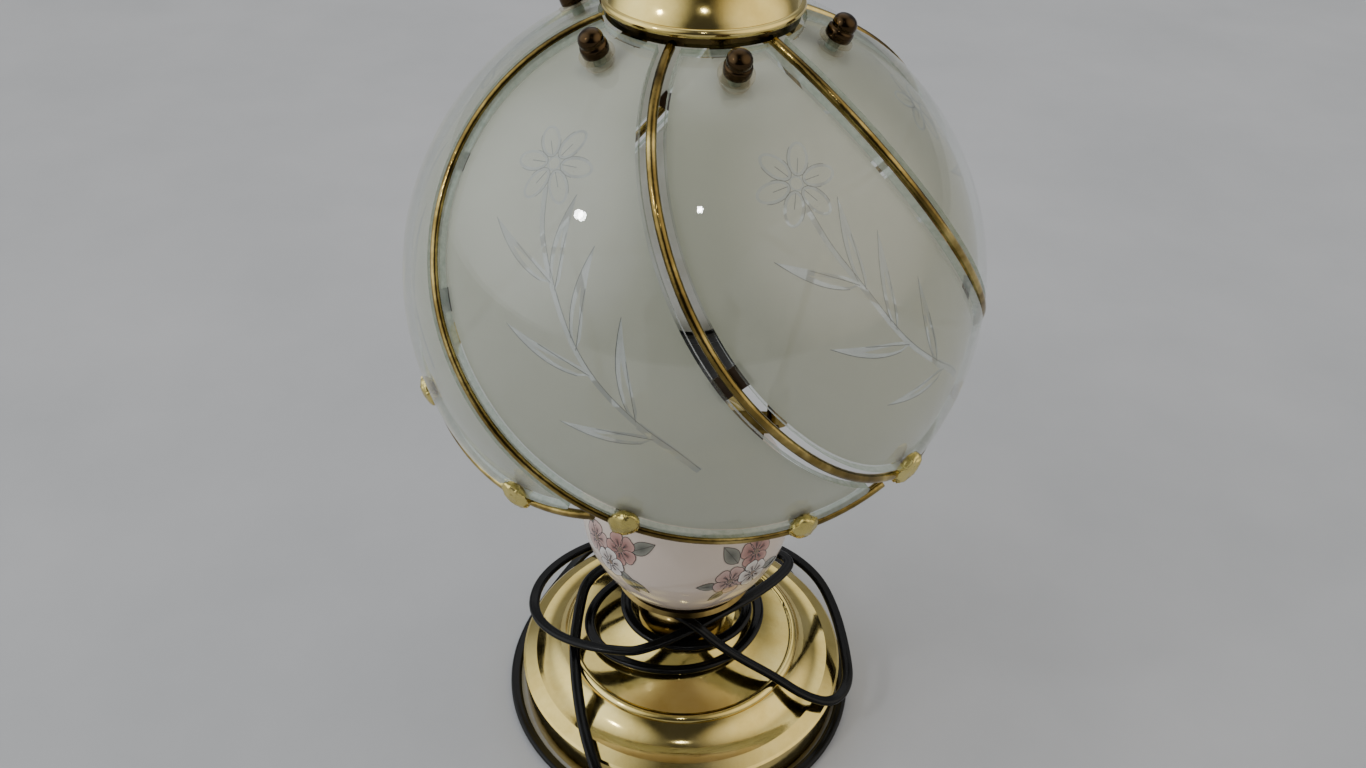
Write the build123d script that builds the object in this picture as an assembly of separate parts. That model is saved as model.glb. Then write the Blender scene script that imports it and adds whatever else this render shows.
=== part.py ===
from build123d import *
from math import acos, asin, atan2, cos, degrees, pi, radians, sin, sqrt, tan
import os

# Touch lamp: brass base, ceramic body, swirled globe shade of glass petals in brass wire ribs.
# Millimetres, +Z up, origin on the table under the middle of the base, front towards -Y.

# Base pan, a stepped brass spinning
BASE_R = 77.5
BASE_FOOT_INSET = 0.5
BASE_WALL = 1.5
RIM_Z = 20.0
RIM_ROUND = 1.0
RING_R = 71.0
RING_Z = 22.5
COVE_R = 56.0
COVE_Z = 31.0
COVE_SAG = 2.6
BEAD_R = 51.8
BEAD_RISE = 2.2
DISH_R = 25.0
DISH_Z = 43.5
DISH_SAG = 1.6
BASE_TOP_Z = 46.0

# What lies inside the base
FELT_T = 2.0
FELT_CLEAR = 0.3
WEIGHT_T = 11.0
WEIGHT_RIM_CLEAR = 3.0
WEIGHT_BORE_R = 50.0
MODULE_SIZE = (44.0, 32.0, 15.0)
SUPPLY_RUN = 14.0
SUPPLY_BEND = 13.0
SUPPLY_LIFT = 1.0
SUPPLY_SIDE_X = 14.0
LAMP_WIRE_X = 8.0
LAMP_WIRE_RUN = 8.0
LAMP_WIRE_RISE = 9.0
LAMP_WIRE_SWAY = 0.5
LAMP_WIRE_TOP = 1.0
LAMP_WIRE_ENTRY = 1.0
MODULE_X = -20.0
MODULE_ROUND = 2.0
WIRE_D = 2.4
WEIGHT_SLOT = 16.0

# Pipe that ties the column together
PIPE_R = 4.8
PIPE_BORE_R = 3.4
PIPE_CLEAR = 0.2
PIPE_WASHER_R = 11.0
PIPE_WASHER_T = 1.5
PIPE_NUT_FLATS = 14.0
PIPE_NUT_T = 5.0
PIPE_END = 3.0

# Turned neck, vase caps and ceramic body
NECK_FOOT_R = 21.0
NECK_FOOT_T = 2.2
NECK_WAIST_R = 12.0
NECK_BULGE_R = 16.0
NECK_H = 25.0
NECK_COLLAR_R = 16.0
NECK_COLLAR_T = 2.0
VASE_CAP_R = 32.0
VASE_CAP_FLOOR_R = 20.5
VASE_CAP_T = 1.5
VASE_CAP_RISE = 3.2
BODY_R = 46.7
BODY_HALF_H = 50.0
BODY_END_R = 23.0
BODY_WALL = 4.0

# Harp and its saddle
SADDLE_T = 1.6
SADDLE_W = 13.0
SADDLE_X = 38.0
SADDLE_EAR_H = 12.0
SADDLE_EAR_W = 5.0
HARP_WIRE = 3.2
HARP_WIDE_X = 46.0
HARP_SHOULDER_X = 22.0
HARP_H = 174.0
SLEEVE_R = 4.6
SLEEVE_WALL = 0.8
SLEEVE_CLEAR = 0.25
SLEEVE_H = 16.0
HARP_DISC_R = 9.0
HARP_DISC_T = 2.0
HARP_GRIP_W = 7.0
STUD_R = 3.1
STUD_RUN = 0.08

# Lamp socket and bulb
SOCKET_CAP_R = 16.0
SOCKET_CAP_H = 22.4
SOCKET_WALL = 1.2
SOCKET_R = 18.0
SOCKET_H = 32.0
SOCKET_LINER_WALL = 1.2
SOCKET_FLOOR_T = 4.0
SCREW_SHELL_WALL = 0.8
BULB_SCREW_R = 13.0
BULB_RUN = 0.08
BULB_SCREW_H = 24.0
BULB_TIP_H = 3.5
BULB_TIP_R = 5.0
BULB_R = 28.0
BULB_H = 78.0
BULB_NECK_R = 13.5

# Globe of glass petals, all on one sphere
SHADE_COUNT = 6
GLASS_R = 110.0
GLASS_T = 3.0
GLASS_TOP_R = 35.0
GLASS_RIM_DROP = 0.75
GLASS_TIP_ROUND = 6.0
GLASS_RIB_GAP = 3.9
FIRST_RIB_AZ = -106.5

# Ribs: two arcs on the globe that meet tangentially
RIB_WIRE = 3.3
RIB_SINK = 1.0
RIB_JOIN_AZ = 27.9
RIB_JOIN_LIFT = 14.6
RIB_HEADING = -49.9
RIB_SIDE_CONE = 52.1
RIB_HOOK_CONE = 64.0
RIB_END_GAP = 0.25
STRAP_AZ = (23.0,)
CLIP_AZ = (64.0, 100.0)
CLIP_W = 8.0
CLIP_T = 0.8
CLIP_REACH = 6.0
CLIP_CLEAR = 0.3
STRAP_W = 12.0

# Crown that carries the petals
CROWN_R = 33.0
CROWN_WALL = 1.2
CROWN_SKIRT = 1.2
CROWN_BEAD_LIFT = 4.5
CROWN_BEAD_R = 1.6
CROWN_H = 19.6
CROWN_SEAT_R = 9.0
CARRIER_T = 1.6
CARRIER_CLEAR = 0.15
ARM_W = 10.0
ARM_OUT = 7.0
ARM_SINK = 0.15
ARM_GAP = 0.7
SCREW_BELOW_RIM = 11.4
SCREW_R = 1.9
SCREW_CLEAR = 0.35
SCREW_HEAD_R = 3.8
SCREW_HEAD_T = 2.2
PAD_R = 5.0
PAD_LIFT = 0.05
WASHER_R = 6.0
WASHER_T = 0.9
NUT_COLLAR_R = 4.8
NUT_COLLAR_H = 2.5
NUT_BALL_R = 4.3
NUT_RUN = 0.05
FINIAL_R = 8.0
FINIAL_H = 25.0
FINIAL_WAIST_R = 4.6
FINIAL_BALL_R = 7.6
FINIAL_FOOT_T = 2.0
FINIAL_NECK_ANGLE = 115.0

# Flat mains cord, taken as a round tube of its width
CORD_D = 5.2
CORD_GAP = 0.1
BUSHING_Z = 9.0
BUSHING_R = 5.2
BUSHING_FLANGE_R = 7.0
BUSHING_FLANGE_T = 1.5
BUSHING_L = 9.0
BUSHING_TIP_R = 3.6
BUSHING_CLEAR = 0.2
PLUG_L = 24.0
PLUG_W = 22.0
PLUG_H = 15.0
PLUG_RELIEF_L = 14.0
PLUG_RELIEF_R = 3.8
PLUG_ROUND = 3.5
BLADE_L = 16.0
BLADE_W = 6.4
BLADE_T = 1.5
BLADE_PITCH = 12.7

# Route of the cord on the table: out of the back, clockwise round the base and up to the neck
LEAD_RUN = (
    (0.5, 93, 8.4), (5, 101, 6), (16, 105.5, 3.5), (30, 101, 3), (43, 89.5, 3), (53.5, 75, 3), (62.5, 59, 3),
    (70.5, 42, 3), (78, 22, 3), (81.2, 1, 3), (78.6, -20.5, 3), (70.8, -40, 3), (58.5, -56.5, 3),
    (42, -69.6, 3), (22.5, -78, 3), (1, -81.2, 3), (-20.5, -79, 3), (-41, -71.8, 3), (-57.5, -59.5, 3),
    (-71, -42.3, 3), (-79.6, -22.5, 3), (-82.8, 0, 3), (-80.5, 20, 3), (-74.5, 39, 3), (-64.5, 55, 8),
    (-53, 66, 18), (-40.5, 63, 29), (-24, 44, 40.5),
)

# Loose winding round the neck, clockwise from the back: place and heading at each quarter turn
WINDING = (
    (-4, 44, 40.5, 0), (36.8, 3, 44.8, -90), (-4, -34.5, 42.8, -180), (-45, -2, 39.4, -270),
    (0, 28.6, 48.5, -360), (30.5, -2, 51, -450), (1, -25.6, 49.3, -540), (-27.5, 1, 50.5, -630),
    (-4, 38, 55, -720), (51.5, 22, 58, -810), (15, -15.5, 59.5, -865), (-24, -31, 51, -905),
    (-73.5, 12, 38, -990), (-8, 52, 48, -1080),
)

# Route of the end: a wide bight on the right, a tuck under the body, then down over the front
TAIL_RUN = (
    (12, 52, 48), (34, 49.5, 46.5), (53, 43, 44), (68.5, 32, 38), (76, 15, 32), (79.5, -5, 27.5),
    (80.5, -23, 23.5), (72, -35.5, 23.5), (58, -36.5, 29.5), (43, -32.5, 38.5), (29, -30.5, 46.5),
    (16, -29, 56), (4, -24.5, 65), (-9, -17.5, 66.3), (-18.5, -6, 64), (-21.5, 12, 61), (-34.5, 20, 57),
    (-47.5, 12, 52), (-50, -2, 45.5), (-51, -15, 39.4), (-49.7, -28, 36.3), (-47.5, -41, 33.2),
    (-44.3, -54, 28.5), (-39.8, -67.5, 25), (-33.5, -80.5, 20), (-26, -93, 11), (-17.5, -104.5, 5.5),
    (-6.5, -112.5, 5.5), (6, -114, 7.5),
)
PLUG_AT = (17.0, -114.0, 7.5)

# Sizes that follow from those above
UP = Vector(0, 0, 1)
STEP_AZ = 360.0 / SHADE_COUNT
RIB_R = GLASS_R - RIB_SINK
GLASS_MID_R = GLASS_R - GLASS_T / 2
BASE_FLOOR_Z = BASE_TOP_Z - BASE_WALL
PIPE_NUT_Z = BASE_FLOOR_Z - PIPE_WASHER_T - PIPE_NUT_T
NECK_TOP_Z = BASE_TOP_Z + NECK_H
BODY_BOTTOM_Z = NECK_TOP_Z + VASE_CAP_T
BODY_HALF_CUT = BODY_HALF_H * sqrt(1 - (BODY_END_R / BODY_R) ** 2)
BODY_Z = BODY_BOTTOM_Z + BODY_HALF_CUT
BODY_TOP_Z = BODY_Z + BODY_HALF_CUT
SADDLE_Z = BODY_TOP_Z + VASE_CAP_T
SOCKET_Z = SADDLE_Z + SADDLE_T
PIPE_TOP_Z = SOCKET_Z + SOCKET_CAP_H * 0.45
LINER_Z = SOCKET_Z + SOCKET_CAP_H
HARP_TOP_Z = SADDLE_Z + HARP_H
DISC_Z = HARP_TOP_Z + HARP_WIRE / 2
CARRIER_Z = DISC_Z + HARP_DISC_T
CROWN_BOTTOM_Z = CARRIER_Z - CROWN_SKIRT
CROWN_BEAD_Z = CROWN_BOTTOM_Z + CROWN_BEAD_LIFT
CROWN_TOP_Z = CROWN_BOTTOM_Z + CROWN_H
SEAT_Z = CROWN_TOP_Z + CROWN_WALL
GLOBE_Z = CARRIER_Z - GLASS_RIM_DROP - sqrt(GLASS_R ** 2 - GLASS_TOP_R ** 2)
GLOBE = Vector(0, 0, GLOBE_Z)
SCREW_POLAR = degrees(asin(GLASS_TOP_R / GLASS_R) + SCREW_BELOW_RIM / GLASS_R)
ARM_LEVEL = GLASS_R - GLASS_T - ARM_GAP
ARM_RISE = CARRIER_Z + CARRIER_T - ARM_SINK - GLOBE_Z - ARM_LEVEL * cos(radians(SCREW_POLAR))
ARM_IN = ARM_RISE / sin(radians(SCREW_POLAR))
FELT_R = BASE_R - BASE_FOOT_INSET - BASE_WALL - FELT_CLEAR


def spot(radius, height):
    """A point of a turned piece's outline."""
    return Vector(radius, 0, height)


def outline(*edges):
    return Face(Wire(edges))


def turned(*edges):
    """A solid of revolution about the lamp's axis."""
    return revolve(outline(*edges), Axis.Z)


def ring(outer, inner, bottom, top):
    """A plain washer or sleeve about the lamp's axis."""
    solid = Pos(0, 0, bottom) * Cylinder(outer, top - bottom, align=(Align.CENTER, Align.CENTER, Align.MIN))
    if inner > 0:
        bore = Cylinder(inner, top - bottom, align=(Align.CENTER, Align.CENTER, Align.MIN))
        solid = solid - Pos(0, 0, bottom) * bore
    return solid


def sagged(start, end, sag):
    """An arc between two outline points, bulging by sag to the left of travel."""
    along = (end - start).normalized()
    left = Vector(-along.Z, 0, along.X)
    return ThreePointArc(start, (start + end) * 0.5 + left * sag, end)


def chain(*points):
    """Straight outline edges through the points in turn."""
    return [Line(a, b) for a, b in zip(points, points[1:])]


def spun(radius, angle, height):
    """A point at a distance and azimuth from the axis."""
    return Vector(radius * cos(radians(angle)), radius * sin(radians(angle)), height)


# Base


def base_line(inset):
    """Outer line of the base pan from foot to top, drawn in by a wall."""
    foot = spot(BASE_R - BASE_FOOT_INSET - inset, 0)
    rim = spot(BASE_R - inset, RIM_Z - RIM_ROUND - inset)
    rim_top = spot(BASE_R - RIM_ROUND - inset, RIM_Z - inset)
    ring_in = spot(RING_R - inset, RING_Z - inset)
    cove_in = spot(COVE_R - inset, COVE_Z - inset)
    bead_in = spot(BEAD_R - inset, COVE_Z + BEAD_RISE - inset)
    dish_in = spot(DISH_R - inset, DISH_Z - inset)
    top = spot(DISH_R - inset, BASE_TOP_Z - inset)
    edges = [
        Line(foot, rim), Line(rim, rim_top), Line(rim_top, ring_in),
        sagged(ring_in, cove_in, COVE_SAG), sagged(cove_in, bead_in, -BEAD_RISE * 0.8),
        sagged(bead_in, dish_in, DISH_SAG), Line(dish_in, top),
    ]
    return edges, foot, top


def base_pan():
    outer, foot_out, top_out = base_line(0)
    inner, foot_in, top_in = base_line(BASE_WALL)
    hole = PIPE_R + PIPE_CLEAR
    pan = turned(
        *outer, *chain(top_out, spot(hole, BASE_TOP_Z), spot(hole, BASE_FLOOR_Z), top_in),
        *inner, Line(foot_in, foot_out),
    )
    cord_hole = Cylinder(BUSHING_R + BUSHING_CLEAR, 4 * BASE_WALL, rotation=(90, 0, 0))
    return pan - Pos(0, BASE_R - BASE_WALL, BUSHING_Z) * cord_hole


def base_weight():
    """Cast ring with a slot at the back for the cord."""
    ring_out = FELT_R - WEIGHT_RIM_CLEAR
    weight = ring(ring_out, WEIGHT_BORE_R, FELT_T, FELT_T + WEIGHT_T)
    slot = Box(WEIGHT_SLOT, 2.2 * (ring_out - WEIGHT_BORE_R), 3 * WEIGHT_T)
    return weight - Pos(0, ring_out, FELT_T) * slot


def touch_module():
    length, width, height = MODULE_SIZE
    box = Box(length, width, height, align=(Align.CENTER, Align.CENTER, Align.MIN))
    box = fillet(box.edges().filter_by(Axis.Z), MODULE_ROUND)
    return Pos(MODULE_X, 0, FELT_T) * box


def hex_nut(flats, thickness, bore):
    nut = extrude(RegularPolygon(flats / 2, 6, major_radius=False), thickness)
    return nut - Cylinder(bore, thickness, align=(Align.CENTER, Align.CENTER, Align.MIN))


# Column


def neck_spool():
    hole = PIPE_R + PIPE_CLEAR
    bottom = BASE_TOP_Z
    foot_top = bottom + NECK_FOOT_T
    collar = NECK_TOP_Z - NECK_COLLAR_T
    span = collar - foot_top
    low_waist = spot(NECK_WAIST_R, foot_top + span * 0.16)
    high_waist = spot(NECK_WAIST_R, collar - span * 0.14)
    bulge = spot(NECK_BULGE_R, foot_top + span * 0.52)
    return turned(
        Line(spot(hole, bottom), spot(NECK_FOOT_R, bottom)),
        Line(spot(NECK_FOOT_R, bottom), spot(NECK_FOOT_R, foot_top)),
        sagged(spot(NECK_FOOT_R, foot_top), low_waist, span * 0.06),
        ThreePointArc(low_waist, bulge, high_waist),
        Line(high_waist, spot(NECK_COLLAR_R, collar)),
        *chain(spot(NECK_COLLAR_R, collar), spot(NECK_COLLAR_R, NECK_TOP_Z), spot(hole, NECK_TOP_Z),
               spot(hole, bottom)),
    )


def vase_cap(seat, way):
    """Spun cup whose floor meets one end of the body; way is 1 below it and -1 above."""
    hole = PIPE_R + PIPE_CLEAR
    back = seat - way * VASE_CAP_T
    rim = seat + way * VASE_CAP_RISE
    lip = spot(VASE_CAP_R, rim - way * VASE_CAP_T)
    rim_in = spot(VASE_CAP_R - VASE_CAP_T, rim)
    floor_in = spot(BODY_END_R + VASE_CAP_T, seat)
    floor_out = spot(VASE_CAP_FLOOR_R, back)
    return turned(
        Line(spot(hole, back), floor_out), sagged(floor_out, lip, way * VASE_CAP_T * 0.6),
        *chain(lip, rim_in, floor_in, spot(hole, seat), spot(hole, back)),
    )


def body_arc(radius, half, end_angle):
    """Half outline of an egg shape about the middle of the body."""
    arc = EllipticalCenterArc((0, 0), radius, half, -end_angle, arc_size=2 * end_angle)
    return Pos(0, 0, BODY_Z) * Rot(90, 0, 0) * arc


def ceramic_body():
    outer_end = degrees(asin(BODY_HALF_CUT / BODY_HALF_H))
    inner_half = BODY_HALF_H - BODY_WALL
    inner_end = degrees(asin(BODY_HALF_CUT / inner_half))
    outer = body_arc(BODY_R, BODY_HALF_H, outer_end)
    inner = body_arc(BODY_R - BODY_WALL, inner_half, inner_end)
    return turned(outer, Line(outer @ 1, inner @ 1), inner, Line(inner @ 0, outer @ 0))


def harp_saddle():
    strip = Box(2 * SADDLE_X, SADDLE_W, SADDLE_T, align=(Align.CENTER, Align.CENTER, Align.MIN))
    strip = strip - Cylinder(PIPE_R + PIPE_CLEAR, 4 * SADDLE_T)
    saddle = Pos(0, 0, SADDLE_Z) * strip
    ear = Box(SADDLE_T, SADDLE_EAR_W, SADDLE_EAR_H, align=(Align.CENTER, Align.CENTER, Align.MIN))
    for side in (-1, 1):
        saddle = saddle + Pos(side * (SADDLE_X - SADDLE_T / 2), 0, SADDLE_Z) * ear
    return saddle


def harp_sleeves():
    """Pair of ferrules that drop over the saddle's ears and grip the harp's ends."""
    floor = SADDLE_Z + SADDLE_EAR_H + SLEEVE_CLEAR
    x = SADDLE_X - SADDLE_T / 2
    solid = ring(SLEEVE_R, SLEEVE_R - SLEEVE_WALL, SADDLE_Z + SADDLE_T, SADDLE_Z + SADDLE_T + SLEEVE_H)
    solid = solid + ring(SLEEVE_R, HARP_WIRE / 2 + CORD_GAP, floor, SADDLE_Z + SADDLE_T + SLEEVE_H)
    return [Pos(side * x, 0, 0) * solid for side in (-1, 1)]


def harp_wire():
    foot_z = SADDLE_Z + SADDLE_EAR_H + 2 * SLEEVE_CLEAR
    foot_x = SADDLE_X - SADDLE_T / 2
    wide_low = SADDLE_Z + 0.42 * HARP_H
    wide_high = SADDLE_Z + 0.72 * HARP_H
    right = [
        Vector(foot_x, 0, foot_z), Vector(foot_x, 0, foot_z + SLEEVE_H), Vector(HARP_WIDE_X, 0, wide_low),
        Vector(HARP_WIDE_X, 0, wide_high), Vector(HARP_SHOULDER_X, 0, HARP_TOP_Z),
    ]
    left = [Vector(-p.X, 0, p.Z) for p in reversed(right)]
    path = FilletPolyline(*right, *left, radius=bend_radii(right + left))
    return tube(path, HARP_WIRE)


def harp_stud():
    """Disc that clips over the crown of the harp, with the threaded stud for the finial."""
    disc = ring(HARP_DISC_R, 0, DISC_Z, DISC_Z + HARP_DISC_T)
    cheek = Box(HARP_GRIP_W, SADDLE_T, HARP_WIRE, align=(Align.CENTER, Align.CENTER, Align.MAX))
    reach = HARP_WIRE / 2 + CORD_GAP + SADDLE_T / 2
    for side in (-1, 1):
        disc = disc + Pos(0, side * reach, DISC_Z) * cheek
    top = SEAT_Z + FINIAL_H * 0.6
    return disc + ring(STUD_R, 0, DISC_Z + HARP_DISC_T, top)


# Socket and bulb


def socket_cap():
    top = SOCKET_Z + SOCKET_CAP_H
    hole = PIPE_R + PIPE_CLEAR
    foot_r = SOCKET_CAP_R * 0.65
    shoulder = spot(SOCKET_CAP_R, SOCKET_Z + SOCKET_CAP_H * 0.55)
    inner_shoulder = spot(SOCKET_CAP_R - SOCKET_WALL, SOCKET_Z + SOCKET_CAP_H * 0.55)
    inner_foot = spot(foot_r - SOCKET_WALL, SOCKET_Z + SOCKET_WALL)
    return turned(
        Line(spot(hole, SOCKET_Z), spot(foot_r, SOCKET_Z)),
        sagged(spot(foot_r, SOCKET_Z), shoulder, -SOCKET_CAP_H * 0.1),
        *chain(shoulder, spot(SOCKET_CAP_R, top), spot(SOCKET_CAP_R - SOCKET_WALL, top), inner_shoulder),
        sagged(inner_shoulder, inner_foot, SOCKET_CAP_H * 0.1),
        *chain(inner_foot, spot(hole, SOCKET_Z + SOCKET_WALL), spot(hole, SOCKET_Z)),
    )


def socket_shell():
    """Dark outer shell with a rolled mouth."""
    top = LINER_Z + SOCKET_H
    bore = SOCKET_R - SOCKET_WALL
    mouth = SOCKET_R + SOCKET_WALL
    return turned(
        *chain(
            spot(bore, LINER_Z), spot(SOCKET_R, LINER_Z), spot(SOCKET_R, top - 3 * SOCKET_WALL),
            spot(mouth, top - 2 * SOCKET_WALL), spot(mouth, top), spot(bore, top), spot(bore, LINER_Z),
        )
    )


def socket_block():
    """Insulating floor of the socket, with a hole for the wires."""
    block = ring(SOCKET_R - SOCKET_WALL - CORD_GAP, 0, LINER_Z, LINER_Z + SOCKET_FLOOR_T)
    return block - Pos(0, -PIPE_R, LINER_Z) * Cylinder(WIRE_D / 2 + CORD_GAP, 3 * SOCKET_FLOOR_T)


BULB_Z = LINER_Z + SOCKET_FLOOR_T + BULB_TIP_H


def screw_shell():
    bore = BULB_SCREW_R + BULB_RUN
    return ring(bore + SCREW_SHELL_WALL, bore, LINER_Z + SOCKET_FLOOR_T, BULB_Z + BULB_SCREW_H)


def socket_contact():
    """Sprung centre tab under the bulb."""
    floor = LINER_Z + SOCKET_FLOOR_T
    tab = Box(2.4 * BULB_TIP_R, BULB_TIP_R, CLIP_T, align=(Align.CENTER, Align.CENTER, Align.MIN))
    return Pos(0, 0, floor) * tab


def bulb_base():
    """Screw base with its insulator and tip."""
    shell = ring(BULB_SCREW_R, 0, BULB_Z, BULB_Z + BULB_SCREW_H)
    tip_z = LINER_Z + SOCKET_FLOOR_T + CLIP_T + CORD_GAP
    cone = Cone(BULB_TIP_R, BULB_SCREW_R * 0.85, BULB_Z - tip_z, align=(Align.CENTER, Align.CENTER, Align.MIN))
    return shell + Pos(0, 0, tip_z) * cone


def bulb_glass():
    bottom = BULB_Z + BULB_SCREW_H
    top = bottom + BULB_H
    globe_z = top - BULB_R
    side_low = spot(BULB_NECK_R, bottom + BULB_H * 0.16)
    side_high = spot(BULB_R * sin(radians(112)), globe_z + BULB_R * cos(radians(112)))
    return turned(
        Line(spot(0, bottom), spot(BULB_NECK_R, bottom)), Line(spot(BULB_NECK_R, bottom), side_low),
        sagged(side_low, side_high, BULB_H * 0.02),
        ThreePointArc(side_high, spot(BULB_R * sin(radians(50)), globe_z + BULB_R * cos(radians(50))),
                      spot(0, top)),
        Line(spot(0, top), spot(0, bottom)),
    )


# Shade geometry on the globe


def on_globe(azimuth, height):
    """Direction from the middle of the globe to a point on it."""
    lift = (height - GLOBE_Z) / GLASS_R
    flat = sqrt(1 - lift * lift)
    return Vector(flat * cos(radians(azimuth)), flat * sin(radians(azimuth)), lift)


def turn(vector, axis, angle):
    """A vector turned about a unit axis by an angle in degrees."""
    a = radians(angle)
    return vector * cos(a) + axis.cross(vector) * sin(a) + axis * (axis.dot(vector) * (1 - cos(a)))


def crossing(axis_a, cone_a, axis_b, cone_b, side):
    """Direction where two cones about the globe's middle cross, on the chosen side."""
    c = axis_a.dot(axis_b)
    ca = cos(radians(cone_a))
    cb = cos(radians(cone_b))
    x = (ca - c * cb) / (1 - c * c)
    y = (cb - c * ca) / (1 - c * c)
    z = sqrt((1 - x * x - y * y - 2 * x * y * c) / (1 - c * c))
    return axis_a * x + axis_b * y + axis_a.cross(axis_b) * (side * z)


def about(axis, start, end):
    """Angle from start to end about an axis, in degrees from 0 to 360."""
    a = start - axis * axis.dot(start)
    b = end - axis * axis.dot(end)
    return degrees(atan2(axis.dot(a.cross(b)), a.dot(b))) % 360


def spread(distance):
    """Angle at the globe's middle of a distance on the glass."""
    return degrees(distance / GLASS_R)


JOIN = on_globe(FIRST_RIB_AZ + RIB_JOIN_AZ, GLOBE_Z + RIB_JOIN_LIFT)
EAST = UP.cross(JOIN).normalized()
NORTH = JOIN.cross(EAST)
TRAVEL = EAST * cos(radians(RIB_HEADING)) + NORTH * sin(radians(RIB_HEADING))
INWARD = JOIN.cross(TRAVEL)
SIDE_AXIS = JOIN * cos(radians(RIB_SIDE_CONE)) + INWARD * sin(radians(RIB_SIDE_CONE))
HOOK_AXIS = JOIN * cos(radians(RIB_HOOK_CONE)) + INWARD * sin(radians(RIB_HOOK_CONE))
NEXT_SIDE_AXIS = turn(SIDE_AXIS, UP, STEP_AZ)
NEXT_HOOK_AXIS = turn(HOOK_AXIS, UP, STEP_AZ)
SCREW_WAY = turn(on_globe(FIRST_RIB_AZ + STEP_AZ / 2, GLOBE_Z), UP.cross(on_globe(
    FIRST_RIB_AZ + STEP_AZ / 2, GLOBE_Z)), SCREW_POLAR - 90)
SCREW_PLANE = Plane(GLOBE, x_dir=UP.cross(SCREW_WAY), z_dir=SCREW_WAY)


def globe_arc(axis, start, end, radius):
    """Arc on the globe from start to end, turning about an axis."""
    middle = turn(start, axis, about(axis, start, end) / 2)
    return ThreePointArc(GLOBE + start * radius, GLOBE + middle * radius, GLOBE + end * radius)


def rib():
    """Wire from the crown down one edge of a petal and along its foot to the next rib."""
    reach = degrees(asin((CROWN_R + RIB_WIRE / 4) / RIB_R))
    start = crossing(SIDE_AXIS, RIB_SIDE_CONE, UP, reach, 1)
    touch = degrees((RIB_WIRE + RIB_END_GAP) / RIB_R)
    end = crossing(HOOK_AXIS, RIB_HOOK_CONE, NEXT_HOOK_AXIS, RIB_HOOK_CONE + touch, -1)
    path = Wire([
        globe_arc(SIDE_AXIS, start, JOIN, RIB_R), globe_arc(HOOK_AXIS, JOIN, end, RIB_R),
    ])
    return tube(path, RIB_WIRE)


def rib_spot(azimuth, axis, cone):
    """Direction on a rib's arc at an azimuth from the rib's start."""
    plane = turn(Vector(0, 1, 0), UP, FIRST_RIB_AZ + azimuth)
    low = crossing(axis, cone, plane, 90, -1)
    high = crossing(axis, cone, plane, 90, 1)
    ahead = turn(Vector(1, 0, 0), UP, FIRST_RIB_AZ + azimuth)
    fits = [p for p in (low, high) if p.dot(ahead) > 0]
    return min(fits, key=lambda p: p.Z)


def clip(way, axis):
    """Folded brass clip between a rib and the edge of the glass."""
    travel = axis.cross(way).normalized()
    place = Plane(GLOBE + way * GLASS_MID_R, x_dir=travel, z_dir=way)
    near = RIB_WIRE / 2 + CORD_GAP
    far = near + CLIP_T + CLIP_REACH
    drop = far * far / (2 * GLASS_R)
    high = GLASS_T / 2 + CLIP_CLEAR
    low = high + drop
    align = (Align.CENTER, Align.MIN, Align.MIN)
    web = Pos(0, near, -low - CLIP_T) * Box(CLIP_W, CLIP_T, low + high + 2 * CLIP_T, align=align)
    outside = Pos(0, near, high) * Box(CLIP_W, far - near, CLIP_T, align=align)
    inside = Pos(0, near, -low - CLIP_T) * Box(CLIP_W, far - near, CLIP_T, align=align)
    return place * (web + outside + inside)


def strap(way, axis):
    """Flat brass strap under a rib, across the edges of two petals."""
    place = Plane(GLOBE + way * GLASS_MID_R, x_dir=axis.cross(way).normalized(), z_dir=way)
    low = GLASS_T / 2 + CLIP_CLEAR + STRAP_W * STRAP_W / (8 * GLASS_R)
    plate = Box(CLIP_W, STRAP_W, CLIP_T, align=(Align.CENTER, Align.CENTER, Align.MAX))
    return place * Pos(0, 0, -low) * plate


def rib_clips():
    straps = [strap(rib_spot(az, SIDE_AXIS, RIB_SIDE_CONE), SIDE_AXIS) for az in STRAP_AZ]
    clips = [clip(rib_spot(az, HOOK_AXIS, RIB_HOOK_CONE), HOOK_AXIS) for az in CLIP_AZ]
    return straps + clips


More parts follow.
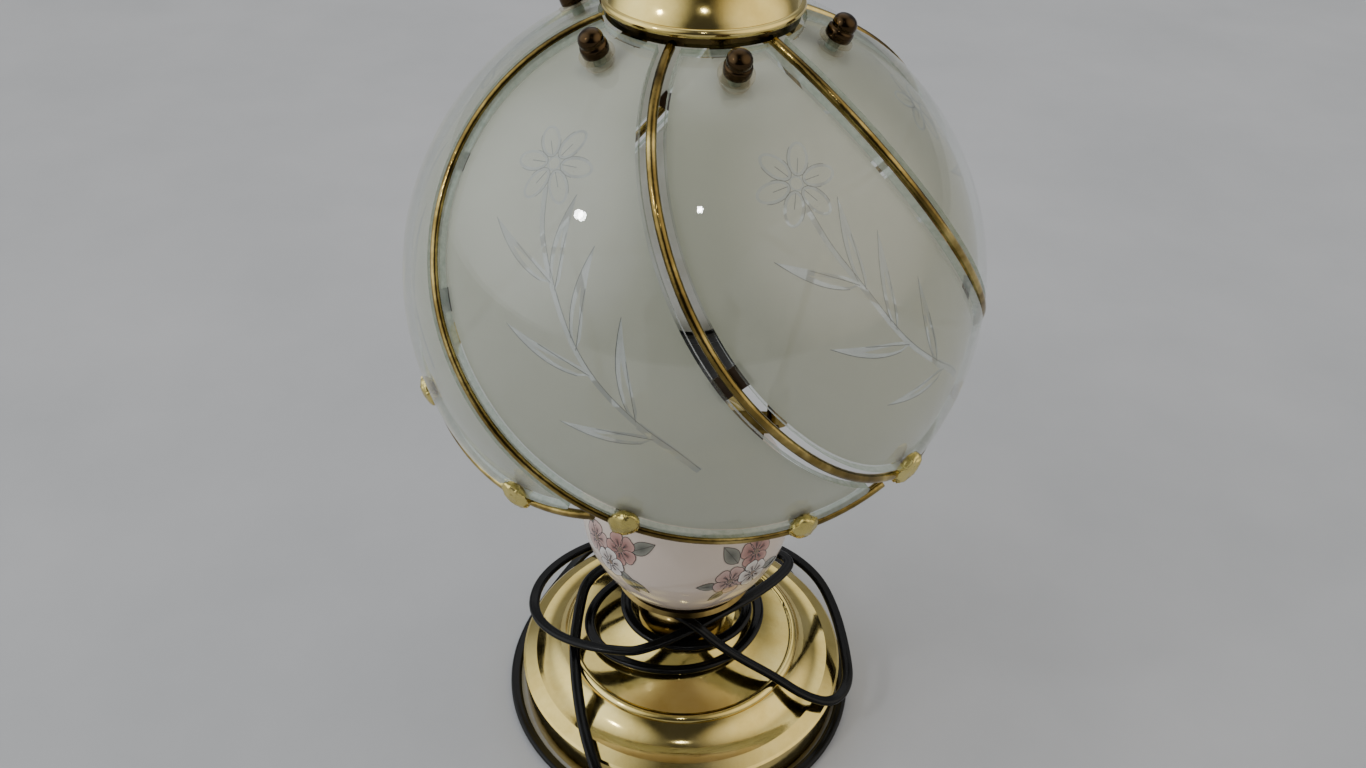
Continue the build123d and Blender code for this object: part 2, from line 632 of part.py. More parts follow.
def glass_petal():
    """Bent glass between two ribs, cut from the globe by lines through its middle."""
    gap = spread(GLASS_RIB_GAP)
    top = degrees(asin(GLASS_TOP_R / GLASS_R))
    tip_round = spread(GLASS_TIP_ROUND)
    left_join = JOIN * cos(radians(gap)) + INWARD * sin(radians(gap))
    right_join = turn(JOIN * cos(radians(gap)) - INWARD * sin(radians(gap)), UP, STEP_AZ)
    top_left = crossing(SIDE_AXIS, RIB_SIDE_CONE - gap, UP, top, 1)
    top_right = crossing(NEXT_SIDE_AXIS, RIB_SIDE_CONE + gap, UP, top, 1)
    tip = crossing(HOOK_AXIS, RIB_HOOK_CONE - gap, NEXT_HOOK_AXIS, RIB_HOOK_CONE + gap, -1)
    tip_low = turn(tip, HOOK_AXIS, -tip_round)
    tip_high = turn(tip, NEXT_HOOK_AXIS, -tip_round)
    middle = (top_left + top_right + tip + left_join + right_join).normalized()

    def flat(way):
        """Point in the drawing plane, in line with the globe's middle."""
        return GLOBE + way * (1.2 * GLASS_R / way.dot(middle))

    def edge(axis, start, end, count=6):
        sweep = about(axis, start, end)
        if sweep > 180:
            sweep = sweep - 360
        return Spline(*[flat(turn(start, axis, sweep * i / count)) for i in range(count + 1)])

    left = edge(SIDE_AXIS, top_left, left_join)
    foot = edge(HOOK_AXIS, left_join, tip_low)
    back = edge(NEXT_HOOK_AXIS, tip_high, right_join)
    right = edge(NEXT_SIDE_AXIS, right_join, top_right)
    crown = edge(UP, top_right, top_left)
    nose = Spline(foot @ 1, back @ 0, tangents=(foot % 1, back % 0))
    loop = Wire([left, foot, nose, back, right, crown])
    cutter = Solid.make_loft([Vertex(*GLOBE), loop], ruled=True)
    shell = Pos(*GLOBE) * (Sphere(GLASS_R) - Sphere(GLASS_R - GLASS_T))
    petal = shell & cutter
    hole = SCREW_PLANE * Cylinder(SCREW_R + SCREW_CLEAR, 3 * GLASS_R)
    return petal - hole


# Crown and fixings


def crown_cap():
    """Domed cap with a bead round its skirt and a flat seat for the finial."""
    hole = STUD_R + STUD_RUN
    bore = CROWN_R - CROWN_WALL
    bead_low = spot(CROWN_R, CROWN_BEAD_Z - CROWN_BEAD_R)
    bead_high = spot(CROWN_R, CROWN_BEAD_Z + CROWN_BEAD_R)
    seat_out = spot(CROWN_SEAT_R, SEAT_Z)
    seat_in = spot(CROWN_SEAT_R, CROWN_TOP_Z)
    dome_in = spot(bore, CROWN_BEAD_Z + CROWN_BEAD_R - CROWN_WALL)
    sag = (CROWN_TOP_Z - CROWN_BEAD_Z) * 0.3
    return turned(
        Line(spot(bore, CROWN_BOTTOM_Z), spot(CROWN_R, CROWN_BOTTOM_Z)),
        Line(spot(CROWN_R, CROWN_BOTTOM_Z), bead_low),
        ThreePointArc(bead_low, spot(CROWN_R + CROWN_BEAD_R, CROWN_BEAD_Z), bead_high),
        sagged(bead_high, seat_out, -sag),
        *chain(seat_out, spot(hole, SEAT_Z), spot(hole, CROWN_TOP_Z), seat_in),
        sagged(seat_in, dome_in, sag),
        Line(dome_in, spot(bore, CROWN_BOTTOM_Z)),
    )


def petal_carrier():
    """Disc on the harp with an arm under each petal."""
    disc = ring(CROWN_R - CROWN_WALL - CARRIER_CLEAR, STUD_R + STUD_RUN, CARRIER_Z, CARRIER_Z + CARRIER_T)
    align = (Align.CENTER, Align.MIN, Align.MAX)
    arm = Pos(0, -ARM_OUT, ARM_LEVEL) * Box(ARM_W, ARM_OUT + ARM_IN, CARRIER_T, align=align)
    arm = arm - Pos(0, 0, ARM_LEVEL) * Cylinder(SCREW_R + SCREW_CLEAR, 4 * CARRIER_T)
    arm = SCREW_PLANE * arm
    for k in range(SHADE_COUNT):
        disc = disc + Rot(0, 0, k * STEP_AZ) * arm
    return disc


def upright(radius, start, end, bore=0):
    """Short cylinder along a petal screw, from one distance from the globe's middle to another."""
    solid = ring(radius, bore, start, end)
    return SCREW_PLANE * solid


def petal_screw():
    head = ARM_LEVEL - CARRIER_T
    end = GLASS_R + PAD_LIFT + WASHER_T + NUT_COLLAR_H + NUT_BALL_R
    return upright(SCREW_HEAD_R, head - SCREW_HEAD_T, head) + upright(SCREW_R, head, end)


def petal_pad():
    """Soft washer between the arm and the glass."""
    drop = PAD_R * PAD_R / (2 * GLASS_R)
    return upright(PAD_R, ARM_LEVEL, ARM_LEVEL + ARM_GAP - drop - PAD_LIFT, SCREW_R + SCREW_CLEAR)


def petal_washer():
    low = GLASS_R + PAD_LIFT
    return upright(WASHER_R, low, low + WASHER_T, SCREW_R + SCREW_CLEAR)


def petal_nut():
    """Ball nut on a flared collar, blind at the top."""
    low = GLASS_R + PAD_LIFT + WASHER_T
    ball_z = low + NUT_COLLAR_H + NUT_BALL_R * 0.45
    collar = Cone(NUT_COLLAR_R, NUT_BALL_R * 0.85, NUT_COLLAR_H, align=(Align.CENTER, Align.CENTER, Align.MIN))
    nut = Pos(0, 0, low) * collar + Pos(0, 0, ball_z) * Sphere(NUT_BALL_R)
    depth = NUT_COLLAR_H + NUT_BALL_R + 2 * NUT_RUN
    bore = Cylinder(SCREW_R + NUT_RUN, depth, align=(Align.CENTER, Align.CENTER, Align.MIN))
    return SCREW_PLANE * (nut - Pos(0, 0, low) * bore)


def finial():
    """Turned knob that clamps the crown to the harp."""
    foot_top = SEAT_Z + FINIAL_FOOT_T
    waist = spot(FINIAL_WAIST_R, SEAT_Z + FINIAL_H * 0.36)
    ball_z = SEAT_Z + FINIAL_H - FINIAL_BALL_R
    tip = spot(0, SEAT_Z + FINIAL_H)
    low, high = [
        spot(FINIAL_BALL_R * sin(radians(a)), ball_z + FINIAL_BALL_R * cos(radians(a)))
        for a in (FINIAL_NECK_ANGLE, FINIAL_NECK_ANGLE / 2)
    ]
    knob = turned(
        Line(spot(0, SEAT_Z), spot(FINIAL_R, SEAT_Z)),
        Line(spot(FINIAL_R, SEAT_Z), spot(FINIAL_R, foot_top)),
        sagged(spot(FINIAL_R, foot_top), waist, FINIAL_H * 0.05),
        sagged(waist, low, -FINIAL_H * 0.02),
        ThreePointArc(low, high, tip),
        Line(tip, spot(0, SEAT_Z)),
    )
    return knob - ring(STUD_R + STUD_RUN, 0, SEAT_Z, SEAT_Z + FINIAL_H * 0.62)


# Cord


def bend_radii(points):
    """Largest tangent arc at each corner of a route."""
    radii = []
    for before, corner, after in zip(points, points[1:], points[2:]):
        first = corner - before
        second = after - corner
        half = radians(first.get_angle(second)) / 2
        radii.append(0.45 * min(first.length, second.length) / tan(half))
    return radii


def tube(path, diameter):
    """Round tube along a path of lines and arcs."""
    wire = path if isinstance(path, Wire) else Wire([path]) if isinstance(path, Edge) else path.wire()
    start = Plane(wire @ 0, z_dir=wire % 0)
    return sweep(start * Circle(diameter / 2), path=wire)


def routed(name, points, diameter):
    """Cord along hand-placed points, with the radii and the volume printed."""
    route = [Vector(*p) for p in points]
    radii = bend_radii(route)
    path = FilletPolyline(*route, radius=radii)
    solid = tube(path, diameter)
    length = path.wire().length
    share = solid.volume / (pi * diameter * diameter / 4 * length)
    print(name, "radii", [round(r, 1) for r in radii])
    print(name, "length", round(length, 1), "volume share", round(share, 4))
    return solid, path.wire()


def biarc(start, start_way, end, end_way):
    """Two arcs that leave start and reach end along the given ways."""
    across = end - start
    ways = start_way + end_way
    spare = 2 * (1 - start_way.dot(end_way))
    pull = across.dot(ways)
    reach = (sqrt(pull * pull + spare * across.dot(across)) - pull) / spare
    start_knee = start + start_way * reach
    end_knee = end - end_way * reach
    middle = (start_knee + end_knee) * 0.5
    arcs = []
    for a, knee, b in ((start, start_knee, middle), (middle, end_knee, end)):
        half = (a + b) * 0.5
        lean = (b - a).length / 2 / reach
        arcs.append(ThreePointArc(a, half + (knee - half) * (lean / (1 + lean)), b))
    return arcs


def winding():
    """Loose loops round the neck in one unbroken tube, a biarc from each station to the next."""
    spots = [Vector(x, y, z) for x, y, z, _ in WINDING]
    ways = []
    for k, (x, y, z, heading) in enumerate(WINDING):
        slope = 0
        if 0 < k < len(spots) - 1:
            before = spots[k] - spots[k - 1]
            after = spots[k + 1] - spots[k]
            slope = (before.Z + after.Z) / (sqrt(before.X ** 2 + before.Y ** 2) + sqrt(after.X ** 2 + after.Y ** 2))
        ways.append(Vector(cos(radians(heading)), sin(radians(heading)), slope).normalized())
    arcs = []
    for k in range(len(spots) - 1):
        arcs += biarc(spots[k], ways[k], spots[k + 1], ways[k + 1])
    path = Wire(arcs)
    print("winding length", round(path.length, 1), "radii", [round(a.radius, 1) for a in arcs])
    return tube(path, CORD_D), path


def self_gap(wire, diameter, step=2.5):
    """Least gap between stretches of a tube that are not neighbours along it."""
    count = int(wire.length / step)
    spots = [wire @ (i / count) for i in range(count + 1)]
    skip = int(3.5 * diameter / step)
    least = min((a - b).length for i, a in enumerate(spots) for b in spots[i + skip:])
    return least - diameter


def cord_bushing():
    """Tapered strain relief in the back of the base, flanged on both sides of the wall."""
    wall_out = BASE_R
    inner_face = BASE_R - BASE_FOOT_INSET - BASE_WALL - 2 * BUSHING_CLEAR
    outer_face = wall_out + BUSHING_CLEAR
    tip = outer_face + BUSHING_L
    bore = CORD_D / 2 + CORD_GAP
    low = inner_face - BUSHING_FLANGE_T
    solid = turned(
        *chain(
            spot(bore, low), spot(BUSHING_FLANGE_R, low), spot(BUSHING_FLANGE_R, inner_face),
            spot(BUSHING_R, inner_face), spot(BUSHING_R, outer_face), spot(BUSHING_FLANGE_R, outer_face),
            spot(BUSHING_FLANGE_R, outer_face + BUSHING_FLANGE_T), spot(BUSHING_R, outer_face + BUSHING_FLANGE_T),
            spot(BUSHING_TIP_R, tip), spot(bore, tip), spot(bore, low),
        )
    )
    return Pos(0, 0, BUSHING_Z) * Rot(-90, 0, 0) * solid


def plug_body():
    """Moulded two-pin plug with a tapered relief."""
    relief = Cone(PLUG_RELIEF_R, PLUG_H * 0.36, PLUG_RELIEF_L, align=(Align.CENTER, Align.CENTER, Align.MIN))
    grip = Box(PLUG_W, PLUG_H, PLUG_L, align=(Align.CENTER, Align.CENTER, Align.MIN))
    grip = fillet(grip.edges().filter_by(Axis.Z), PLUG_ROUND)
    solid = relief + Pos(0, 0, PLUG_RELIEF_L) * grip
    return Pos(*PLUG_AT) * Rot(0, 90, 0) * Rot(0, 0, 90) * solid


def plug_blades():
    blade = Box(BLADE_T, BLADE_W, BLADE_L, align=(Align.CENTER, Align.CENTER, Align.MIN))
    pair = []
    for side in (-1, 1):
        at = Pos(side * BLADE_PITCH / 2, 0, PLUG_RELIEF_L + PLUG_L)
        pair.append(Pos(*PLUG_AT) * Rot(0, 90, 0) * Rot(0, 0, 90) * at * blade)
    return pair


# Wires inside


def inner_wires():
    """Lead from the bushing to the touch module, and the wire from it up the pipe to the socket."""
    module_y = MODULE_SIZE[1] / 2
    module_top = FELT_T + MODULE_SIZE[2]
    inner_end = BASE_R - BASE_FOOT_INSET - BASE_WALL - 2 * BUSHING_CLEAR - BUSHING_FLANGE_T
    lead_z = BUSHING_Z + SUPPLY_LIFT
    bend_y = inner_end - SUPPLY_RUN - SUPPLY_BEND
    supply = [
        Vector(0, inner_end, BUSHING_Z), Vector(0, inner_end - SUPPLY_RUN, BUSHING_Z),
        Vector(-SUPPLY_LIFT, bend_y, lead_z), Vector(-SUPPLY_SIDE_X, module_y + SUPPLY_BEND, lead_z),
        Vector(-SUPPLY_SIDE_X, module_y, lead_z),
    ]
    top = LINER_Z + SOCKET_FLOOR_T
    rise = (PIPE_TOP_Z - PIPE_NUT_Z) / 5
    bend_z = module_top + LAMP_WIRE_RUN
    lamp = [Vector(-LAMP_WIRE_X, 0, module_top), Vector(-LAMP_WIRE_X, 0, bend_z)]
    lamp += [Vector(0, 0, bend_z + LAMP_WIRE_RISE)]
    lamp += [Vector(0, LAMP_WIRE_SWAY * (-1) ** k, PIPE_NUT_Z + rise * k) for k in range(1, 5)]
    lamp += [Vector(0, -LAMP_WIRE_SWAY, PIPE_TOP_Z - LAMP_WIRE_TOP)]
    lamp += [Vector(0, -PIPE_R, LINER_Z - LAMP_WIRE_ENTRY), Vector(0, -PIPE_R, top)]
    return supply, lamp


def turned_copies(master):
    return [Rot(0, 0, k * STEP_AZ) * master for k in range(SHADE_COUNT)]


def main():
    nodes = {
        "base_pan": base_pan(),
        "felt_pad": ring(FELT_R, 0, 0, FELT_T),
        "base_weight": base_weight(),
        "touch_module": touch_module(),
        "lamp_pipe": ring(PIPE_R, PIPE_BORE_R, PIPE_NUT_Z - PIPE_END, PIPE_TOP_Z),
        "pipe_washer": ring(PIPE_WASHER_R, PIPE_R + PIPE_CLEAR, BASE_FLOOR_Z - PIPE_WASHER_T, BASE_FLOOR_Z),
        "pipe_nut": Pos(0, 0, PIPE_NUT_Z) * hex_nut(PIPE_NUT_FLATS, PIPE_NUT_T, PIPE_R + CORD_GAP),
        "neck_spool": neck_spool(),
        "lower_vase_cap": vase_cap(BODY_BOTTOM_Z, 1),
        "ceramic_body": ceramic_body(),
        "upper_vase_cap": vase_cap(BODY_TOP_Z, -1),
        "harp_saddle": harp_saddle(),
        "harp_sleeves": harp_sleeves(),
        "harp_wire": harp_wire(),
        "harp_stud": harp_stud(),
        "socket_cap": socket_cap(),
        "socket_shell": socket_shell(),
        "socket_block": socket_block(),
        "socket_screw_shell": screw_shell(),
        "socket_contact": socket_contact(),
        "bulb_base": bulb_base(),
        "bulb_glass": bulb_glass(),
        "crown_cap": crown_cap(),
        "petal_carrier": petal_carrier(),
        "petal_screws": turned_copies(petal_screw()),
        "petal_pads": turned_copies(petal_pad()),
        "petal_washers": turned_copies(petal_washer()),
        "petal_nuts": turned_copies(petal_nut()),
        "finial": finial(),
        "cord_bushing": cord_bushing(),
        "plug_body": plug_body(),
        "plug_blades": plug_blades(),
    }
    petal = glass_petal()
    wire = rib()
    clips = rib_clips()
    for k in range(SHADE_COUNT):
        place = Rot(0, 0, k * STEP_AZ)
        nodes[f"glass_petal_{k + 1}"] = place * petal
        nodes[f"rib_{k + 1}"] = place * wire
        nodes[f"rib_clips_{k + 1}"] = [place * c for c in clips]

    exit_y = BASE_R + BUSHING_CLEAR + BUSHING_L
    lead = ((0, exit_y, BUSHING_Z),) + LEAD_RUN + (WINDING[0][:3],)
    tail = (WINDING[-1][:3],) + TAIL_RUN + (PLUG_AT,)
    nodes["cord_lead"], lead_path = routed("lead", lead, CORD_D)
    nodes["cord_winding"], loops_path = winding()
    nodes["cord_tail"], tail_path = routed("tail", tail, CORD_D)
    print("winding gap to itself", round(self_gap(loops_path, CORD_D), 2))
    print("cord length", round(lead_path.length + loops_path.length + tail_path.length, 1))
    supply, lamp = inner_wires()
    nodes["supply_lead"], _ = routed("supply", supply, CORD_D)
    nodes["lamp_wire"], _ = routed("lamp wire", lamp, WIRE_D)

    os.makedirs("parts", exist_ok=True)
    for name, shape in nodes.items():
        solids = shape if isinstance(shape, list) else shape.solids()
        body = solids[0] if len(solids) == 1 else Compound(children=[s.solid() for s in solids])
        export_step(body, os.path.join("parts", name + ".step"))


main()
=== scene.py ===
import math

import bmesh
import bpy
from mathutils import Matrix, Vector, noise
from mathutils.geometry import delaunay_2d_cdt


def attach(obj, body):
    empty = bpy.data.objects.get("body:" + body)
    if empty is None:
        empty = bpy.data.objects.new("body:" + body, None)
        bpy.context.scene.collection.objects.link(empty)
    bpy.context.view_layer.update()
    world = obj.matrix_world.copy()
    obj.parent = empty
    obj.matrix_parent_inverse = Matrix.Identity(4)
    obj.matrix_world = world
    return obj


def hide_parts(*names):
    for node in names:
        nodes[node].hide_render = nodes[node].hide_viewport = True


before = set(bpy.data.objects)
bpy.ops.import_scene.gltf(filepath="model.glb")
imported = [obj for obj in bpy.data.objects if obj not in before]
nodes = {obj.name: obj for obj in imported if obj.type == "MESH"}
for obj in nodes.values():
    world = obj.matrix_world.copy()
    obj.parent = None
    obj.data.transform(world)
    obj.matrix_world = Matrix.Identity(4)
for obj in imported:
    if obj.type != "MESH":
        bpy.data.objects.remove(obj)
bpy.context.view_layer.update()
scene = bpy.context.scene
MM = 0.001
UP = Vector((0, 0, 1))

# Sizes shared with the solids, in millimetres
GLOBE_Z = 233.6
GLASS_R = 110.0
GLASS_T = 3.0
GLASS_TOP_R = 35.0
GLASS_RIB_GAP = 3.9
FIRST_RIB_AZ = -106.5
RIB_JOIN_AZ = 27.9
RIB_JOIN_LIFT = 14.6
RIB_HEADING = -49.9
RIB_SIDE_CONE = 52.1
RIB_HOOK_CONE = 64.0
PETALS = 6
STEP_AZ = 360.0 / PETALS
STRAP_LIFT = 8.0
BODY_Z = 116.0
BODY_R = 46.7
BODY_HALF_H = 50.0
CORD_W = 5.2
CORD_T = 3.0

# Camera at the photograph's place and angle
PITCH = math.radians(36.99)
ROLL = math.radians(1.64)
CAMERA_AT = (-0.0030, -0.3963, 0.4794)
LENS = 31.625
SENSOR_W = 36.0
CLIP_START = 0.01
right = Vector((1, 0, 0))
ahead = Vector((0, math.cos(PITCH), -math.sin(PITCH)))
above = Vector((0, math.sin(PITCH), math.cos(PITCH)))
cam_x = right * math.cos(ROLL) + above * math.sin(ROLL)
cam_y = above * math.cos(ROLL) - right * math.sin(ROLL)
cam_data = bpy.data.cameras.new("camera")
cam_data.lens = LENS
cam_data.sensor_width = SENSOR_W
cam_data.clip_start = CLIP_START
camera = bpy.data.objects.new("camera", cam_data)
camera.matrix_world = Matrix((
    (cam_x.x, cam_y.x, -ahead.x, CAMERA_AT[0]),
    (cam_x.y, cam_y.y, -ahead.y, CAMERA_AT[1]),
    (cam_x.z, cam_y.z, -ahead.z, CAMERA_AT[2]),
    (0, 0, 0, 1),
))
scene.collection.objects.link(camera)
scene.camera = camera

# Material helpers

FACING_BLEND = 0.5
GLOSS_POWER = 5.0
GLOSS_HEAD_ON = 0.045


class Maker:
    """Short calls for a material's nodes."""

    def __init__(self, name):
        self.material = bpy.data.materials.new(name)
        self.material.use_nodes = True
        self.tree = self.material.node_tree
        self.tree.nodes.clear()
        self.out = self.add("ShaderNodeOutputMaterial")
        self.place = self.add("ShaderNodeTexCoord").outputs["Object"]

    def add(self, kind, **settings):
        node = self.tree.nodes.new(kind)
        for key, value in settings.items():
            setattr(node, key, value)
        return node

    def link(self, source, target):
        self.tree.links.new(source, target)

    def noise(self, scale, detail=4.0, rough=0.55):
        node = self.add("ShaderNodeTexNoise")
        node.inputs["Scale"].default_value = scale
        node.inputs["Detail"].default_value = detail
        node.inputs["Roughness"].default_value = rough
        self.link(self.place, node.inputs["Vector"])
        return node.outputs["Fac"]

    def ramp(self, source, *stops):
        node = self.add("ShaderNodeValToRGB")
        ramp = node.color_ramp
        while len(ramp.elements) < len(stops):
            ramp.elements.new(0.5)
        for element, (position, colour) in zip(ramp.elements, stops):
            element.position = position
            element.color = (*colour, 1.0)
        self.link(source, node.inputs["Fac"])
        return node.outputs["Color"]

    def span(self, source, low, high, from_low=0.3, from_high=0.7):
        node = self.add("ShaderNodeMapRange")
        node.inputs["From Min"].default_value = from_low
        node.inputs["From Max"].default_value = from_high
        node.inputs["To Min"].default_value = low
        node.inputs["To Max"].default_value = high
        self.link(source, node.inputs["Value"])
        return node.outputs["Result"]

    def bump(self, source, strength, distance):
        node = self.add("ShaderNodeBump")
        node.inputs["Strength"].default_value = strength
        node.inputs["Distance"].default_value = distance
        self.link(source, node.inputs["Height"])
        return node.outputs["Normal"]

    def mix(self, factor, first, second):
        node = self.add("ShaderNodeMixShader")
        if isinstance(factor, float):
            node.inputs[0].default_value = factor
        else:
            self.link(factor, node.inputs[0])
        self.link(first, node.inputs[1])
        self.link(second, node.inputs[2])
        return node.outputs[0]

    def lobe(self, kind, colour=None, normal=None):
        """Shader of one kind, such as Diffuse, with its colour set or linked."""
        node = self.add(f"ShaderNodeBsdf{kind}")
        if isinstance(colour, tuple):
            node.inputs["Color"].default_value = (*colour, 1.0)
        elif colour is not None:
            self.link(colour, node.inputs["Color"])
        if normal is not None:
            self.link(normal, node.inputs["Normal"])
        return node

    def gloss_share(self):
        """Share of mirror gloss on glass, the same from both sides of the pane."""
        weight = self.add("ShaderNodeLayerWeight")
        weight.inputs["Blend"].default_value = FACING_BLEND
        power = self.add("ShaderNodeMath", operation="POWER")
        power.inputs[1].default_value = GLOSS_POWER
        self.link(weight.outputs["Facing"], power.inputs[0])
        return self.span(power.outputs[0], GLOSS_HEAD_ON, 1.0, from_low=0.0, from_high=1.0)

    def finish(self, shader):
        self.link(shader, self.out.inputs["Surface"])
        return self.material

    def surface(self, colour, rough, metal=0.0, normal=None, **sockets):
        node = self.add("ShaderNodeBsdfPrincipled")
        node.inputs["Metallic"].default_value = metal
        for name, value in (("Base Color", colour), ("Roughness", rough), ("Normal", normal)):
            if value is None:
                continue
            if isinstance(value, float):
                node.inputs[name].default_value = value
            else:
                self.link(value, node.inputs[name])
        for name, value in sockets.items():
            node.inputs[name.replace("_", " ")].default_value = value
        return self.finish(node.outputs["BSDF"])


def brass(name, dark, mid, light, rough, bump=0.02, grain=900.0):
    """Metal with a colour drift between its tones, rubbing marks and fine tarnish; the darkened brasses
    below carry painted shade and painted reflection in their tones.
    """
    m = Maker(name)
    drift = m.noise(scale=38.0, detail=5.0, rough=0.6)
    colour = m.ramp(drift, (0.30, dark), (0.50, mid), (0.72, light))
    shine = m.span(m.noise(scale=160.0, detail=6.0, rough=0.65), *rough)
    marks = m.bump(m.noise(scale=grain, detail=2.0), strength=bump, distance=0.0004)
    return m.surface(colour, shine, metal=1.0, normal=marks)


def plain(name, dark, light, rough, scale=300.0, bump=0.05, metal=0.0, **sockets):
    """Moulded, cast or rolled surface with a fine grain in colour, gloss and height."""
    m = Maker(name)
    grain = m.noise(scale, detail=5.0, rough=0.6)
    colour = m.ramp(grain, (0.32, dark), (0.70, light))
    shine = m.span(m.noise(scale=scale * 0.4), *rough)
    return m.surface(colour, shine, metal, m.bump(grain, strength=bump, distance=0.0005), **sockets)


def thin_glass(name, tint, rough):
    """Clear pane: see-through with a mirror gloss that grows towards the edge."""
    m = Maker(name)
    clear = m.lobe("Transparent", tint)
    gloss = m.lobe("Glossy", (1.0, 1.0, 1.0))
    haze = m.span(m.noise(scale=60.0, detail=3.0), rough, rough * 2.0)
    m.link(haze, gloss.inputs["Roughness"])
    return m.finish(m.mix(m.gloss_share(), clear.outputs[0], gloss.outputs[0]))


FROST_THROUGH = 0.38
FROST_CLEAR = 0.05


def frost_film(name):
    """Etched inner face: soft white, lets light through, a little uneven."""
    m = Maker(name)
    colour = m.ramp(m.noise(scale=14.0), (0.30, (0.630, 0.615, 0.540)), (0.70, (0.705, 0.69, 0.615)))
    normal = m.bump(m.noise(scale=4200.0, detail=2.0), strength=0.15, distance=0.0002)
    solid = m.lobe("Diffuse", colour, normal)
    through = m.lobe("Translucent", colour, normal)
    clear = m.lobe("Transparent")
    veil = m.mix(FROST_THROUGH, solid.outputs[0], through.outputs[0])
    return m.finish(m.mix(FROST_CLEAR, veil, clear.outputs[0]))


ETCH_THROUGH = 0.5
ETCH_CLEAR = (0.26, 0.42)


def etch_film(name):
    """Polished cut in the frost: thinner and clearer than the frost round it."""
    m = Maker(name)
    streak = m.noise(scale=240.0, detail=3.0)
    colour = m.ramp(streak, (0.30, (0.66, 0.68, 0.69)), (0.70, (0.80, 0.81, 0.83)))
    solid = m.lobe("Diffuse", colour)
    through = m.lobe("Translucent", colour)
    clear = m.lobe("Transparent")
    veil = m.mix(ETCH_THROUGH, solid.outputs[0], through.outputs[0])
    return m.finish(m.mix(m.span(streak, *ETCH_CLEAR), veil, clear.outputs[0]))


EDGE_CLEAR = 0.55
EDGE_ROUGH = 0.15


def glass_edge(name):
    """Ground edge of a pane: greenish, half clear and glossy."""
    m = Maker(name)
    streak = m.noise(scale=500.0, detail=3.0)
    colour = m.ramp(streak, (0.3, (0.50, 0.60, 0.52)), (0.7, (0.74, 0.80, 0.73)))
    solid = m.lobe("Diffuse", colour)
    gloss = m.lobe("Glossy")
    gloss.inputs["Roughness"].default_value = EDGE_ROUGH
    clear = m.lobe("Transparent", (0.80, 0.88, 0.81))
    body = m.mix(EDGE_CLEAR, solid.outputs[0], clear.outputs[0])
    return m.finish(m.mix(m.gloss_share(), body, gloss.outputs[0]))


def glaze(name):
    """Pale pinkish glaze with a faint drift of tone and a slight ripple."""
    m = Maker(name)
    drift = m.noise(scale=22.0)
    tone = m.ramp(drift, (0.30, (0.67, 0.555, 0.465)), (0.72, (0.74, 0.63, 0.54)))
    ripple = m.bump(m.noise(scale=70.0, detail=2.0), strength=0.03, distance=0.001)
    shine = m.span(m.noise(scale=120.0, detail=3.0), 0.06, 0.12)
    return m.surface(tone, shine, normal=ripple, Coat_Weight=0.3, Coat_Roughness=0.08)


def decal(name):
    """Print under the glaze, in the colour carried by each point."""
    m = Maker(name)
    ink = m.add("ShaderNodeVertexColor", layer_name="ink")
    specks = m.noise(scale=1500.0, detail=3.0)
    speck = m.ramp(specks, (0.30, (0.90, 0.89, 0.88)), (0.65, (1.0, 1.0, 1.0)))
    blend = m.add("ShaderNodeMix", data_type="RGBA", blend_type="MULTIPLY")
    blend.inputs["Factor"].default_value = 1.0
    m.link(ink.outputs["Color"], blend.inputs["A"])
    m.link(speck, blend.inputs["B"])
    shine = m.span(m.noise(scale=120.0, detail=3.0), 0.07, 0.13)
    return m.surface(blend.outputs["Result"], shine, Coat_Weight=0.6, Coat_Roughness=0.04)


def felt(name):
    """Short dark pile."""
    m = Maker(name)
    pile = m.noise(scale=2600.0, detail=6.0, rough=0.7)
    colour = m.ramp(pile, (0.30, (0.010, 0.016, 0.012)), (0.70, (0.035, 0.050, 0.038)))
    nap = m.bump(pile, strength=0.6, distance=0.0006)
    return m.surface(colour, 0.95, normal=nap, Sheen_Weight=0.4)


# Materials: metals go from their darkest tone to their lightest, then the range of roughness

POLISHED = brass(
    "polished_brass", (0.60, 0.44, 0.12), (0.73, 0.57, 0.19), (0.81, 0.66, 0.265), (0.08, 0.16),
)
# Crown's lower band: near black brass, a painted dark reflection of the surroundings in the band
CROWN_PAINTED_REFLECTION = brass(
    "crown_band_painted_reflection", (0.012, 0.008, 0.003), (0.04, 0.027, 0.009), (0.12, 0.085, 0.028), (0.08, 0.16),
)
# Darkened brass for the neck and the lower vase cap: painted shade under the ceramic body, with painted
# dark reflections of the cord
SHADED_BRASS = brass(
    "brass_painted_shade", (0.05, 0.035, 0.012), (0.15, 0.105, 0.035), (0.34, 0.26, 0.095), (0.10, 0.20),
)
# Ribs, harp, carrier and socket cap: dark base colour with bright gold streaks, painted reflection of dark
# surroundings and bright lights
RIB_BRASS_PAINTED_REFLECTION = brass(
    "rib_brass", (0.05, 0.032, 0.01), (0.23, 0.16, 0.045), (0.74, 0.58, 0.22), (0.06, 0.16),
    bump=0.30, grain=350.0,
)
CLIP_BRASS = brass(
    "clip_brass", (0.46, 0.37, 0.11), (0.68, 0.56, 0.19), (0.80, 0.68, 0.29), (0.16, 0.34),
    bump=0.9, grain=420.0,
)
DARK_BRASS = brass(
    "dark_brass", (0.022, 0.014, 0.007), (0.055, 0.034, 0.016), (0.12, 0.074, 0.034), (0.03, 0.08),
)
STRAP_BRASS = brass(
    "strap_brass", (0.03, 0.02, 0.015), (0.07, 0.05, 0.035), (0.12, 0.085, 0.06), (0.25, 0.40),
)
ZINC = plain("zinc_steel", (0.42, 0.42, 0.41), (0.60, 0.60, 0.58), (0.25, 0.45), metal=1.0)
FELT = felt("felt")
